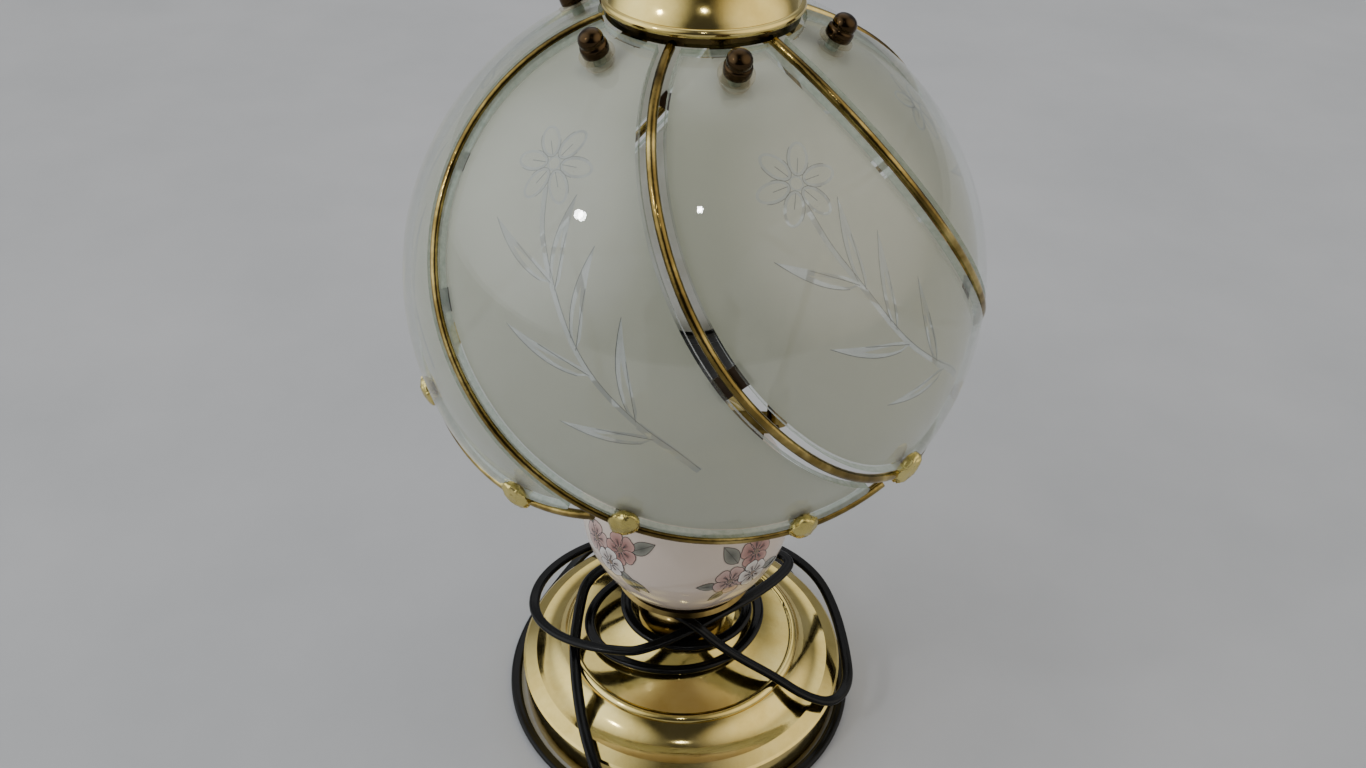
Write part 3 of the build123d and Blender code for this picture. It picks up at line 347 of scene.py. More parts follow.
CAST = plain("cast_weight", (0.03, 0.03, 0.03), (0.09, 0.09, 0.09), (0.6, 0.85), 220.0, 0.5)
MODULE = plain("module_plastic", (0.010, 0.010, 0.010), (0.030, 0.029, 0.028), (0.35, 0.5), 700.0)
CORD = plain(
    "cord_sheath", (0.002, 0.002, 0.002), (0.005, 0.005, 0.005), (0.17, 0.27), 420.0, 0.12,
    Specular_IOR_Level=0.20,
)
PLUG = plain("plug_plastic", (0.008, 0.008, 0.008), (0.022, 0.022, 0.022), (0.38, 0.52), 900.0, 0.2)
BLADE = plain("plug_blade", (0.55, 0.45, 0.25), (0.72, 0.62, 0.40), (0.22, 0.36), metal=1.0)
GLAZE = glaze("ceramic_glaze")
DECAL = decal("blossom_decal")
PETAL_GLASS = thin_glass("petal_glass", (0.95, 0.965, 0.945), 0.01)
PETAL_EDGE = glass_edge("petal_edge")
FROST = frost_film("frost")
ETCH = etch_film("etched_cut")
# Grey lines: painted shade where the cut edges meet the frost
GROOVE_PAINTED_SHADE = plain("etched_groove_painted_shade", (0.13, 0.13, 0.13), (0.24, 0.24, 0.235), (0.4, 0.6), 700.0)
PAD = plain("soft_pad", (0.40, 0.35, 0.28), (0.52, 0.47, 0.39), (0.40, 0.55), 500.0)
WASHER = thin_glass("clear_washer", (0.90, 0.87, 0.80), 0.12)
BULB = plain("bulb_pearl", (0.74, 0.74, 0.72), (0.84, 0.84, 0.82), (0.18, 0.30), 60.0)

DRESS = {
    "base_pan": POLISHED, "neck_spool": SHADED_BRASS, "lower_vase_cap": SHADED_BRASS, "upper_vase_cap": POLISHED,
    "finial": POLISHED, "felt_pad": FELT, "base_weight": CAST, "touch_module": MODULE,
    "supply_lead": CORD, "lamp_wire": CORD, "cord_bushing": PLUG, "lamp_pipe": ZINC, "pipe_washer": ZINC,
    "pipe_nut": ZINC, "ceramic_body": GLAZE, "harp_saddle": RIB_BRASS_PAINTED_REFLECTION, "harp_sleeves": RIB_BRASS_PAINTED_REFLECTION,
    "harp_wire": RIB_BRASS_PAINTED_REFLECTION, "harp_stud": RIB_BRASS_PAINTED_REFLECTION, "socket_cap": RIB_BRASS_PAINTED_REFLECTION, "socket_shell": MODULE,
    "socket_block": MODULE, "socket_screw_shell": ZINC, "socket_contact": BLADE, "bulb_base": ZINC,
    "bulb_glass": BULB, "petal_carrier": RIB_BRASS_PAINTED_REFLECTION, "petal_screws": ZINC, "petal_pads": PAD,
    "petal_washers": WASHER, "petal_nuts": DARK_BRASS, "plug_body": PLUG, "plug_blades": BLADE,
}
FACE_ON = 0.7
PAINTED_REFLECTION_H = 2.9


def dress(name, *materials):
    """Give a node of the solids its materials, and return its mesh."""
    mesh = nodes[name].data
    mesh.materials.clear()
    for material in materials:
        mesh.materials.append(material)
    return mesh


for name, material in DRESS.items():
    dress(name, material)
for k in range(1, PETALS + 1):
    dress(f"rib_{k}", RIB_BRASS_PAINTED_REFLECTION)
    clips = dress(f"rib_clips_{k}", CLIP_BRASS, STRAP_BRASS)
    for face in clips.polygons:
        face.material_index = 1 if face.center.z > (GLOBE_Z + STRAP_LIFT) * MM else 0
    glass = dress(f"glass_petal_{k}", PETAL_GLASS, PETAL_EDGE)
    for face in glass.polygons:
        out = (face.center - Vector((0, 0, GLOBE_Z * MM))).normalized()
        face.material_index = 0 if abs(out.dot(face.normal)) > FACE_ON else 1
# The band below the crown's bead takes the painted dark reflection
crown = dress("crown_cap", POLISHED, CROWN_PAINTED_REFLECTION)
painted_reflection_top = min(v.co.z for v in crown.vertices) + PAINTED_REFLECTION_H * MM
for face in crown.polygons:
    face.material_index = 1 if face.center.z < painted_reflection_top else 0


# Helpers for pieces


def heading(angle):
    """Flat direction at an angle in degrees."""
    a = math.radians(angle)
    return Vector((math.cos(a), math.sin(a)))


def square(way):
    """Flat direction turned a quarter to the left."""
    return Vector((-way.y, way.x))


def skin(build, rings):
    """Faces from each ring of points to the next, and one at both ends."""
    count = len(rings[0])
    for low, high in zip(rings, rings[1:]):
        for i in range(count):
            j = (i + 1) % count
            build.faces.new((low[i], low[j], high[j], high[i]))
    build.faces.new(rings[0][::-1])
    build.faces.new(rings[-1])


def mesh_from(build, name):
    mesh = bpy.data.meshes.new(name)
    build.to_mesh(mesh)
    build.free()
    return mesh


def new_piece(name, mesh, material, body):
    """Object of the part from a mesh, on one of its bodies."""
    piece = bpy.data.objects.new(name, mesh)
    scene.collection.objects.link(piece)
    mesh.materials.append(material)
    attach(piece, body)
    return piece


# Cord: the route's points in metres, on one smooth curve; the loops also have a heading in degrees

LEAD_RUN = (
    (0.0005, 0.093, 0.0084), (0.005, 0.101, 0.006), (0.016, 0.1055, 0.0035), (0.030, 0.101, 0.003),
    (0.043, 0.0895, 0.003), (0.0535, 0.075, 0.003), (0.0625, 0.059, 0.003), (0.0705, 0.042, 0.003),
    (0.078, 0.022, 0.003), (0.0812, 0.001, 0.003), (0.0786, -0.0205, 0.003), (0.0708, -0.040, 0.003),
    (0.0585, -0.0565, 0.003), (0.042, -0.0696, 0.003), (0.0225, -0.078, 0.003), (0.001, -0.0812, 0.003),
    (-0.0205, -0.079, 0.003), (-0.041, -0.0718, 0.003), (-0.0575, -0.0595, 0.003), (-0.071, -0.0423, 0.003),
    (-0.0796, -0.0225, 0.003), (-0.0828, 0.0, 0.003), (-0.0805, 0.020, 0.003), (-0.0745, 0.039, 0.003),
    (-0.0645, 0.055, 0.008), (-0.053, 0.066, 0.018), (-0.0405, 0.063, 0.029), (-0.024, 0.044, 0.0405),
)
WINDING = (
    (-0.004, 0.044, 0.0405, 0), (0.0368, 0.003, 0.0448, -90), (-0.004, -0.0345, 0.0428, -180),
    (-0.045, -0.002, 0.0394, -270), (0.0, 0.0286, 0.0485, -360), (0.0305, -0.002, 0.051, -450),
    (0.001, -0.0256, 0.0493, -540), (-0.0275, 0.001, 0.0505, -630), (-0.004, 0.038, 0.055, -720),
    (0.0515, 0.022, 0.058, -810), (0.015, -0.0155, 0.0595, -865), (-0.024, -0.031, 0.051, -905),
    (-0.0735, 0.012, 0.038, -990), (-0.008, 0.052, 0.048, -1080),
)
TAIL_RUN = (
    (0.012, 0.052, 0.048), (0.034, 0.0495, 0.0465), (0.053, 0.043, 0.044), (0.0685, 0.032, 0.038),
    (0.076, 0.015, 0.032), (0.0795, -0.005, 0.0275), (0.0805, -0.023, 0.0235), (0.072, -0.0355, 0.0235),
    (0.058, -0.0365, 0.0295), (0.043, -0.0325, 0.0385), (0.029, -0.0305, 0.0465), (0.016, -0.029, 0.056),
    (0.004, -0.0245, 0.065), (-0.009, -0.0175, 0.0663), (-0.0185, -0.006, 0.064), (-0.0215, 0.012, 0.061),
    (-0.0345, 0.020, 0.057), (-0.0475, 0.012, 0.052), (-0.050, -0.002, 0.0455), (-0.051, -0.015, 0.0394),
    (-0.0497, -0.028, 0.0363), (-0.0475, -0.041, 0.0332), (-0.0443, -0.054, 0.0285),
    (-0.0398, -0.0675, 0.025), (-0.0335, -0.0805, 0.020), (-0.026, -0.093, 0.011),
    (-0.0175, -0.1045, 0.0055), (-0.0065, -0.1125, 0.0055), (0.006, -0.114, 0.0075),
)
CORD_EXIT = (0.0, 0.0867, 0.009)
PLUG_AT = (0.017, -0.114, 0.0075)
LOOP_STEPS = 6
CURVE_STEPS = 10
CORE_STEPS = 10
CORE_SWEEP = 224.0
TWIST = math.radians(16)
TWIST_WAVES = (31.0, 7.0)


def loop_points():
    """Loops round the neck: an oval quarter from each station to the next."""
    found = []
    for a, b in zip(WINDING, WINDING[1:]):
        first = heading(a[3])
        last = heading(b[3])
        start, end = Vector(a[:2]), Vector(b[:2])
        across = end - start
        cross = first.x * last.y - first.y * last.x
        corner = start + first * ((across.x * last.y - across.y * last.x) / cross)
        middle = start + end - corner
        for i in range(LOOP_STEPS):
            share = i / LOOP_STEPS
            turn = share * math.pi / 2
            flat = middle + (start - middle) * math.cos(turn) + (end - middle) * math.sin(turn)
            ease = share * share * (3 - 2 * share)
            found.append((flat.x, flat.y, a[2] + (b[2] - a[2]) * (0.5 * ease + 0.5 * share)))
    return found + [WINDING[-1][:3]]


route = [CORD_EXIT, *LEAD_RUN, *loop_points(), *TAIL_RUN, PLUG_AT]
line = bpy.data.curves.new("cord_line", "CURVE")
line.dimensions = "3D"
spline = line.splines.new("NURBS")
spline.points.add(len(route) - 1)
for point, place in zip(spline.points, route):
    point.co = (*place, 1.0)
spline.order_u = 3
spline.use_endpoint_u = True
spline.resolution_u = CURVE_STEPS
line_object = bpy.data.objects.new("cord_line", line)
scene.collection.objects.link(line_object)
bpy.context.view_layer.update()
depsgraph = bpy.context.evaluated_depsgraph_get()
drawn = bpy.data.meshes.new_from_object(line_object.evaluated_get(depsgraph))
cord_path = [v.co.copy() for v in drawn.vertices]
bpy.data.objects.remove(line_object)


def cord_section():
    """Flat twin lead: two cores side by side with a groove between them."""
    core = CORD_T / 2 * MM
    centre = CORD_W / 2 * MM - core
    points = []
    for middle, facing in ((centre, 0.0), (-centre, 180.0)):
        for i in range(CORE_STEPS + 1):
            way = heading(facing - CORE_SWEEP / 2 + CORE_SWEEP * i / CORE_STEPS)
            points.append((middle + core * way.x, core * way.y))
    return points


def cord_mesh(path):
    """Twin lead along a path, lying flat with a slight twist."""
    section = cord_section()
    drop = (CORD_W - CORD_T) / 2 * MM
    build = bmesh.new()
    rings = []
    length = 0.0
    for i, here in enumerate(path):
        before = path[max(i - 1, 0)]
        after = path[min(i + 1, len(path) - 1)]
        length += (here - before).length
        along = (after - before).normalized()
        side = along.cross(UP).normalized()
        over = side.cross(along)
        roll = TWIST * math.sin(length * TWIST_WAVES[0]) * math.sin(length * TWIST_WAVES[1])
        width = side * math.cos(roll) + over * math.sin(roll)
        thick = over * math.cos(roll) - side * math.sin(roll)
        middle = here - over * drop
        rings.append([build.verts.new(middle + width * x + thick * y) for x, y in section])
    skin(build, rings)
    bmesh.ops.recalc_face_normals(build, faces=build.faces)
    for face in build.faces:
        face.smooth = len(face.verts) == 4
    return mesh_from(build, "cord")


cord = new_piece("cord", cord_mesh(cord_path), CORD, "stand")
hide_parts("cord_lead", "cord_winding", "cord_tail")

# Shade geometry: directions from the middle of the globe

NOSE_SHARES = (0.0, 0.25, 0.5, 0.75)


def turned(vector, axis, angle):
    return Matrix.Rotation(math.radians(angle), 3, axis) @ vector


def crossing(axis_a, cone_a, axis_b, cone_b, side):
    """Direction where two cones about the globe's middle cross, on the chosen side."""
    c = axis_a.dot(axis_b)
    ca = math.cos(math.radians(cone_a))
    cb = math.cos(math.radians(cone_b))
    x = (ca - c * cb) / (1 - c * c)
    y = (cb - c * ca) / (1 - c * c)
    z = math.sqrt((1 - x * x - y * y - 2 * x * y * c) / (1 - c * c))
    return axis_a * x + axis_b * y + axis_a.cross(axis_b) * (side * z)


def spread(distance):
    return math.degrees(distance / GLASS_R)


def blend(first, second, angle):
    return first * math.cos(math.radians(angle)) + second * math.sin(math.radians(angle))


lift = RIB_JOIN_LIFT / GLASS_R
azimuth = math.radians(FIRST_RIB_AZ + RIB_JOIN_AZ)
flat = math.sqrt(1 - lift * lift)
JOIN = Vector((flat * math.cos(azimuth), flat * math.sin(azimuth), lift))
EAST = UP.cross(JOIN).normalized()
INWARD = JOIN.cross(blend(EAST, JOIN.cross(EAST), RIB_HEADING))
SIDE_AXIS = blend(JOIN, INWARD, RIB_SIDE_CONE)
HOOK_AXIS = blend(JOIN, INWARD, RIB_HOOK_CONE)
NEXT_SIDE_AXIS = turned(SIDE_AXIS, UP, STEP_AZ)
NEXT_HOOK_AXIS = turned(HOOK_AXIS, UP, STEP_AZ)


def arc_points(axis, start, end, step):
    """Points on the globe from start up to end, turning about an axis."""
    a = start - axis * axis.dot(start)
    b = end - axis * axis.dot(end)
    angle = math.degrees(math.atan2(axis.dot(a.cross(b)), a.dot(b)))
    count = max(2, round(abs(math.radians(angle)) * a.length * GLASS_R / step))
    return [turned(start, axis, angle * i / count) for i in range(count)]


def petal_edge(insets, tip_round, top_radius, step):
    """Outline of a petal, set in from its own rib and from the next one."""
    gap = spread(GLASS_RIB_GAP + insets[0])
    next_gap = spread(GLASS_RIB_GAP + insets[1])
    top = math.degrees(math.asin(top_radius / GLASS_R))
    left_join = blend(JOIN, INWARD, gap)
    right_join = turned(blend(JOIN, -INWARD, next_gap), UP, STEP_AZ)
    top_left = crossing(SIDE_AXIS, RIB_SIDE_CONE - gap, UP, top, 1)
    top_right = crossing(NEXT_SIDE_AXIS, RIB_SIDE_CONE + next_gap, UP, top, 1)
    tip = crossing(HOOK_AXIS, RIB_HOOK_CONE - gap, NEXT_HOOK_AXIS, RIB_HOOK_CONE + next_gap, -1)
    low = turned(tip, HOOK_AXIS, -spread(tip_round))
    high = turned(tip, NEXT_HOOK_AXIS, -spread(tip_round))
    nose = [low * (1 - t) ** 2 + tip * (2 * t * (1 - t)) + high * t ** 2 for t in NOSE_SHARES]
    return (
        arc_points(SIDE_AXIS, top_left, left_join, step)
        + arc_points(HOOK_AXIS, left_join, low, step)
        + [p.normalized() for p in nose]
        + arc_points(NEXT_HOOK_AXIS, high, right_join, step)
        + arc_points(NEXT_SIDE_AXIS, right_join, top_right, step)
        + arc_points(UP, top_right, top_left, step)
    )


# Chart of a petal: distances from its middle, in millimetres

CHART_AZ = 51.0
CHART_POLAR = 46.5
TINY = 1e-9
middle_az = math.radians(FIRST_RIB_AZ + CHART_AZ)
middle_polar = math.radians(CHART_POLAR)
MIDDLE = Vector((
    math.sin(middle_polar) * math.cos(middle_az),
    math.sin(middle_polar) * math.sin(middle_az),
    math.cos(middle_polar),
))
CHART_X = UP.cross(MIDDLE).normalized()
CHART_Y = MIDDLE.cross(CHART_X)


def to_chart(way):
    angle = math.acos(max(-1.0, min(1.0, way.dot(MIDDLE))))
    off = Vector((way.dot(CHART_X), way.dot(CHART_Y)))
    return off.normalized() * (angle * GLASS_R) if off.length > TINY else Vector((0, 0))


def from_chart(point):
    angle = point.length / GLASS_R
    if angle < TINY:
        return MIDDLE.copy()
    off = point.normalized()
    return MIDDLE * math.cos(angle) + (CHART_X * off.x + CHART_Y * off.y) * math.sin(angle)


# Etched flower, cut in the frost: each shape is an outline and the frost kept inside it

FLOWER_AT = Vector((-15.0, 5.0))
FLOWER_SPIN = 62.0
RAYS = 6
RAY_AT = 8.5
RAY_CUT = (5.95, 3.55)
RAY_KEPT = (4.95, 2.55)
RAY_POINTS = 26
HEART_CUT = 2.7
HEART_KEPT = 1.9
HEART_POINTS = 20
STEM = ((-15, -3), (-11, -18), (-2, -35), (8, -50), (19, -61), (34, -71), (48, -78), (58, -84))
STEM_HALF = 0.9
STEM_END_HALF = 1.5
LEAVES = (
    ((-4, -32), (-31, -16)), ((-2, -34), (-3, -3)), ((9, -51), (8, -17)), ((15, -58), (-19, -49)),
    ((33, -70), (22, -36)), ((40, -75), (5, -78)),
)
LEAF_CUT = 2.3
LEAF_KEPT = 1.1
LEAF_KEPT_SPAN = (0.05, 0.62)
LEAF_FULL = 2.6
LEAF_BOW = 0.05
LEAF_STEPS = 9
RIBBON_STEPS = 5


def oval(middle, along, half_length, half_width, count):
    across = square(along)
    found = []
    for i in range(count):
        t = 2 * math.pi * i / count
        found.append(middle + along * (half_length * math.cos(t)) + across * (half_width * math.sin(t)))
    return found


def disc(middle, radius, count):
    return oval(middle, Vector((1, 0)), radius, radius, count)


def leaf(base, tip, half_width, begin=0.0, finish=1.0):
    """Slim pointed blade, widest near its foot."""
    along = tip - base
    across = square(along).normalized()
    left = []
    right = []
    for i in range(LEAF_STEPS + 1):
        share = begin + (finish - begin) * i / LEAF_STEPS
        t = (share - begin) / (finish - begin)
        wide = half_width * LEAF_FULL * t ** 0.5 * (1 - t)
        bow = across * (LEAF_BOW * along.length * math.sin(math.pi * share))
        left.append(base + along * share + bow + across * wide)
        right.append(base + along * share + bow - across * wide)
    return left + right[-2:0:-1]


def ribbon(points, half_width):
    """Band along a smooth line through points."""
    line = [Vector(p) for p in points]
    fine = []
    for k in range(len(line) - 1):
        a, b = line[k], line[k + 1]
        pull_a = (b - line[max(k - 1, 0)]) * 0.5
        pull_b = (line[min(k + 2, len(line) - 1)] - a) * 0.5
        for i in range(RIBBON_STEPS):
            t = i / RIBBON_STEPS
            from_a = 2 * t ** 3 - 3 * t ** 2 + 1
            from_b = -2 * t ** 3 + 3 * t ** 2
            lean_a = t ** 3 - 2 * t ** 2 + t
            lean_b = t ** 3 - t ** 2
            fine.append(a * from_a + pull_a * lean_a + b * from_b + pull_b * lean_b)
    fine.append(line[-1])
    left = []
    right = []
    for i, here in enumerate(fine):
        way = (fine[min(i + 1, len(fine) - 1)] - fine[max(i - 1, 0)]).normalized()
        across = square(way) * half_width
        left.append(here + across)
        right.append(here - across)
    return left + right[::-1]


def flower_rays():
    return [heading(FLOWER_SPIN + 360 / RAYS * k) for k in range(RAYS)]


def leaf_lines():
    return [(Vector(base), Vector(tip)) for base, tip in LEAVES]


def etched_shapes():
    shapes = [(disc(FLOWER_AT, HEART_CUT, HEART_POINTS), disc(FLOWER_AT, HEART_KEPT, HEART_POINTS))]
    for along in flower_rays():
        centre = FLOWER_AT + along * RAY_AT
        cut = oval(centre, along, *RAY_CUT, RAY_POINTS)
        kept = oval(centre, along, *RAY_KEPT, RAY_POINTS)
        shapes.append((cut, kept))
    shapes.append((ribbon(STEM, STEM_HALF), None))
    shapes.append((ribbon(STEM[-3:], STEM_END_HALF), None))
    for base, tip in leaf_lines():
        shapes.append((leaf(base, tip, LEAF_CUT), leaf(base, tip, LEAF_KEPT, *LEAF_KEPT_SPAN)))
    return shapes


def inside(point, polygon):
    found = False
    j = len(polygon) - 1
    for i, corner in enumerate(polygon):
        other = polygon[j]
        if (corner.y > point.y) != (other.y > point.y):
            if point.x < (other.x - corner.x) * (point.y - corner.y) / (other.y - corner.y) + corner.x:
                found = not found
        j = i
    return found


# Frost on the inner face of the glass, in three materials: frost, cuts and the dark lines of painted shade
# beside them

FROST_INSETS = (0.6, 1.4)
FROST_TIP = 9.0
FROST_TOP_GAP = 0.4
FROST_EDGE_STEP = 2.5
FROST_STEP = 4.0
FROST_GAP = 0.06
GROOVE_GAP = 0.03
FROST_R = GLASS_R - GLASS_T - FROST_GAP
GROOVE_R = GLASS_R - GLASS_T - GROOVE_GAP
MERGE = 1e-4
GROOVE_HALF = 0.13
RAY_LINE = (6.0, 3.6)
RAY_LINE_PART = slice(4, 20)
RAY_VEIN = (3.2, 0.9, 7)
LEAF_VEIN = (0.06, 11)
FROST_SLOT, CUT_SLOT, PAINTED_SHADE_SLOT = range(3)


def frost_chart():
    """Points and triangles of the frost in the chart of one petal."""
    rim = petal_edge(FROST_INSETS, FROST_TIP, GLASS_TOP_R + FROST_TOP_GAP, FROST_EDGE_STEP)
    edge = [to_chart(way) for way in rim]
    shapes = etched_shapes()
    loops = [edge]
    for outer, inner in shapes:
        loops.append(outer)
        if inner:
            loops.append(inner)
    points = []
    lines = []
    for loop in loops:
        first = len(points)
        points.extend(loop)
        lines.extend((first + i, first + (i + 1) % len(loop)) for i in range(len(loop)))
    low = Vector((min(p.x for p in edge), min(p.y for p in edge)))
    high = Vector((max(p.x for p in edge), max(p.y for p in edge)))
    for i in range(int((high.x - low.x) / FROST_STEP)):
        for j in range(int((high.y - low.y) / FROST_STEP)):
            spot = low + Vector(((i + 0.5) * FROST_STEP, (j + 0.5 * (i % 2)) * FROST_STEP))
            if inside(spot, edge):
                points.append(spot)
    found, _, triangles, _, _, _ = delaunay_2d_cdt(points, lines, [], 0, MERGE)
    kept = []
    for triangle in triangles:
        middle = (found[triangle[0]] + found[triangle[1]] + found[triangle[2]]) / 3
        if not inside(middle, edge):
            continue
        cut = False
        for outer, inner in shapes:
            if inside(middle, outer) and not (inner and inside(middle, inner)):
                cut = True
        kept.append((tuple(triangle), CUT_SLOT if cut else FROST_SLOT))
    return found, kept


def groove_lines():
    """Fine dark lines of painted shade where the cuts meet the frost."""
    lines = []
    step, count = LEAF_VEIN
    for base, tip in leaf_lines():
        lines.append(leaf(base, tip, LEAF_CUT)[1:LEAF_STEPS + 1])
        lines.append([base + (tip - base) * (step * i) for i in range(count)])
    edges = ribbon(STEM, STEM_HALF)
    lines.append(edges[:len(edges) // 2])
    start, step, count = RAY_VEIN
    for along in flower_rays():
        lines.append([FLOWER_AT + along * (start + step * i) for i in range(count)])
        lines.append(oval(FLOWER_AT + along * RAY_AT, along, *RAY_LINE, RAY_POINTS)[RAY_LINE_PART])
    return lines


def frost_pieces():
    found, triangles = frost_chart()
    used = sorted({v for triangle, _ in triangles for v in triangle})
    place = {v: i for i, v in enumerate(used)}
    ways = [from_chart(found[v]) for v in used]
    faces = [tuple(place[v] for v in triangle) for triangle, _ in triangles]
    kinds = [kind for _, kind in triangles]
    reach = [FROST_R] * len(ways)
    for line in groove_lines():
        band = ribbon(line, GROOVE_HALF)
        first = len(ways)
        last = first + len(band) - 1
        ways.extend(from_chart(p) for p in band)
        reach.extend([GROOVE_R] * len(band))
        for i in range(len(band) // 2 - 1):
            faces.append((first + i, last - i, last - i - 1, first + i + 1))
            kinds.append(PAINTED_SHADE_SLOT)
    globe = Vector((0, 0, GLOBE_Z))
    for k in range(PETALS):
        turned_ways = [turned(way, UP, STEP_AZ * k) for way in ways]
        points = [(way * far + globe) * MM for way, far in zip(turned_ways, reach)]
        mesh = bpy.data.meshes.new(f"petal_frost_{k + 1}")
        mesh.from_pydata(points, [], faces)
        mesh.shade_smooth()
        mesh.normals_split_custom_set_from_vertices(turned_ways)
        piece = new_piece(f"petal_frost_{k + 1}", mesh, FROST, "shade")
        mesh.materials.append(ETCH)
        mesh.materials.append(GROOVE_PAINTED_SHADE)
        for face, kind in zip(mesh.polygons, kinds):
            face.material_index = kind


frost_pieces()

# Crimped brass beads where the clips close over the ribs

CLIP_AZ = (64.0, 100.0)
CRIMP_HALF = (4.8, 6.5, 3.2)
CRIMP_OUT = 0.2
CRIMP_IN = 2.9
CRIMP_BOXY = 0.16
CRIMP_LUMP = 0.13
LUMP_SCALE = 1.7
LUMP_SHIFT = 3.1
CRIMP_CREASE = 0.16
CREASE_SCALE = 3.6
CREASE_SHIFT = 2.3


def rib_way(azimuth):
    """Direction on the lower arc of the first rib at an azimuth from its start."""
    plane = turned(Vector((0, 1, 0)), UP, FIRST_RIB_AZ + azimuth)
    ahead = turned(Vector((1, 0, 0)), UP, FIRST_RIB_AZ + azimuth)
    ways = [crossing(HOOK_AXIS, RIB_HOOK_CONE, plane, 90, side) for side in (-1, 1)]
    return min((way for way in ways if way.dot(ahead) > 0), key=lambda way: way.z)


def crimp_mesh(name, way, seed):
    """Pinched lump of soft brass over a rib, flattened towards the glass."""
    along = HOOK_AXIS.cross(way).normalized()
    inward = way.cross(along)
    centre = way * (GLASS_R + CRIMP_OUT) + inward * CRIMP_IN
    build = bmesh.new()
    bmesh.ops.create_icosphere(build, subdivisions=4, radius=1.0)
    for vert in build.verts:
        p = vert.co.copy()
        boxy = CRIMP_BOXY * (abs(p.x) ** 3 + abs(p.y) ** 3)
        lump = CRIMP_LUMP * noise.noise(p * LUMP_SCALE + Vector((seed * LUMP_SHIFT, 0, 0)))
        crease = CRIMP_CREASE * abs(noise.noise(p * CREASE_SCALE + Vector((0, seed * CREASE_SHIFT, 0))))
        size = 1.0 + boxy + lump - crease
        x, y, z = (p[i] * CRIMP_HALF[i] * size for i in range(3))
        vert.co = (centre + along * x + inward * y + way * z) * MM
        vert.co.z += GLOBE_Z * MM
    for face in build.faces:
        face.smooth = True
    return mesh_from(build, name)


for k in range(PETALS):
    spin = Matrix.Rotation(math.radians(STEP_AZ * k), 4, "Z")
    for i, az in enumerate(CLIP_AZ):
        name = f"clip_crimp_{k + 1}_{i + 1}"
        mesh = crimp_mesh(name, rib_way(az), 2 * k + i + 1)
        mesh.transform(spin)
        crimp = new_piece(name, mesh, CLIP_BRASS, "shade")

# Turned cap nuts: a round head close on a wide collar

NUT_PROFILE = (
    (0.86, 0.0), (0.97, 0.04), (1.0, 0.12), (0.99, 0.34), (0.95, 0.41), (0.88, 0.44), (0.85, 0.47),
    (0.88, 0.53), (0.90, 0.61), (0.87, 0.71), (0.79, 0.81), (0.63, 0.90), (0.40, 0.965), (0.16, 0.995),
)
NUT_AZ = 30.0
NUT_NEAR = 0.9
NUT_COLLAR_R = 4.7
NUT_SIDES = 40


def cap_nuts():
    """Six turned nuts, each as tall as its solid and in the same place."""
    globe = Vector((0, 0, GLOBE_Z * MM))
    spots = [v.co - globe for v in nodes["petal_nuts"].data.vertices]
    build = bmesh.new()
    for k in range(PETALS):
        ahead = turned(Vector((1, 0, 0)), UP, FIRST_RIB_AZ + NUT_AZ + STEP_AZ * k)
        near = [p for p in spots if Vector((p.x, p.y, 0)).normalized().dot(ahead) > NUT_NEAR]
        way = (sum(near, Vector()) / len(near)).normalized()
        low = min(p.dot(way) for p in near)
        high = max(p.dot(way) for p in near)
        across = way.cross(UP).normalized()
        over = way.cross(across)
        rings = []
        for wide, tall in NUT_PROFILE:
            middle = globe + way * (low + (high - low) * tall)
            radius = wide * NUT_COLLAR_R * MM
            ring = []
            for i in range(NUT_SIDES):
                t = 2 * math.pi * i / NUT_SIDES
                ring.append(build.verts.new(middle + (across * math.cos(t) + over * math.sin(t)) * radius))
            rings.append(ring)
        skin(build, rings)
    bmesh.ops.recalc_face_normals(build, faces=build.faces)
    for face in build.faces:
        face.smooth = True
    return mesh_from(build, "cap_nuts")


nuts = new_piece("cap_nuts", cap_nuts(), DARK_BRASS, "shade")
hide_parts("petal_nuts")

# Blossom print on the ceramic body: thin patches that follow the glaze

INK_LINE = (0.055, 0.035, 0.030)
ROSE = ((0.24, 0.085, 0.07), (0.58, 0.33, 0.28))
BLUSH = ((0.34, 0.18, 0.15), (0.64, 0.44, 0.39))
WHITE = ((0.42, 0.33, 0.29), (0.86, 0.82, 0.77))
GREEN = ((0.08, 0.085, 0.065), (0.27, 0.265, 0.215))
CENTRE = ((0.16, 0.10, 0.07), (0.30, 0.20, 0.13))
PRINT_R = 48.5
PATCH_RINGS = (1.0, 0.72, 0.44)
OUTLINE_W = 0.30
VEIN_W = 0.22
LINE_LIFT = 0.03
LEAF_LIFT = 0.10
PETAL_LIFT = 0.012
CENTRE_LIFT = 0.12
DOT_LIFT = 0.13
BLOSSOM_PETALS = 5
BLOSSOM_POINTS = 18
BLOSSOM_HEART = 0.30
PETAL_MIDDLE = 0.56
PETAL_HALF = (0.42, 0.50)
PETAL_TAPER = (0.82, 0.24)
NOTCH_DEEP = 0.05
NOTCH_WIDE = 0.35
VEIN_LEANS = (-0.22, 0.0, 0.22)
VEIN_SHARES = (0.20, 0.32, 0.44, 0.58)
CENTRE_R = 0.15
CENTRE_POINTS = 10
DOTS = 9
DOT_R = 0.34
DOT_REACH = (0.24, 0.30)
DOT_POINTS = 7
PRINT_LEAF_STEPS = 10
PRINT_LEAF_LEAN = 0.85
PRINT_LEAF_LEAST = 0.02
PRINT_VEIN_STEPS = 8


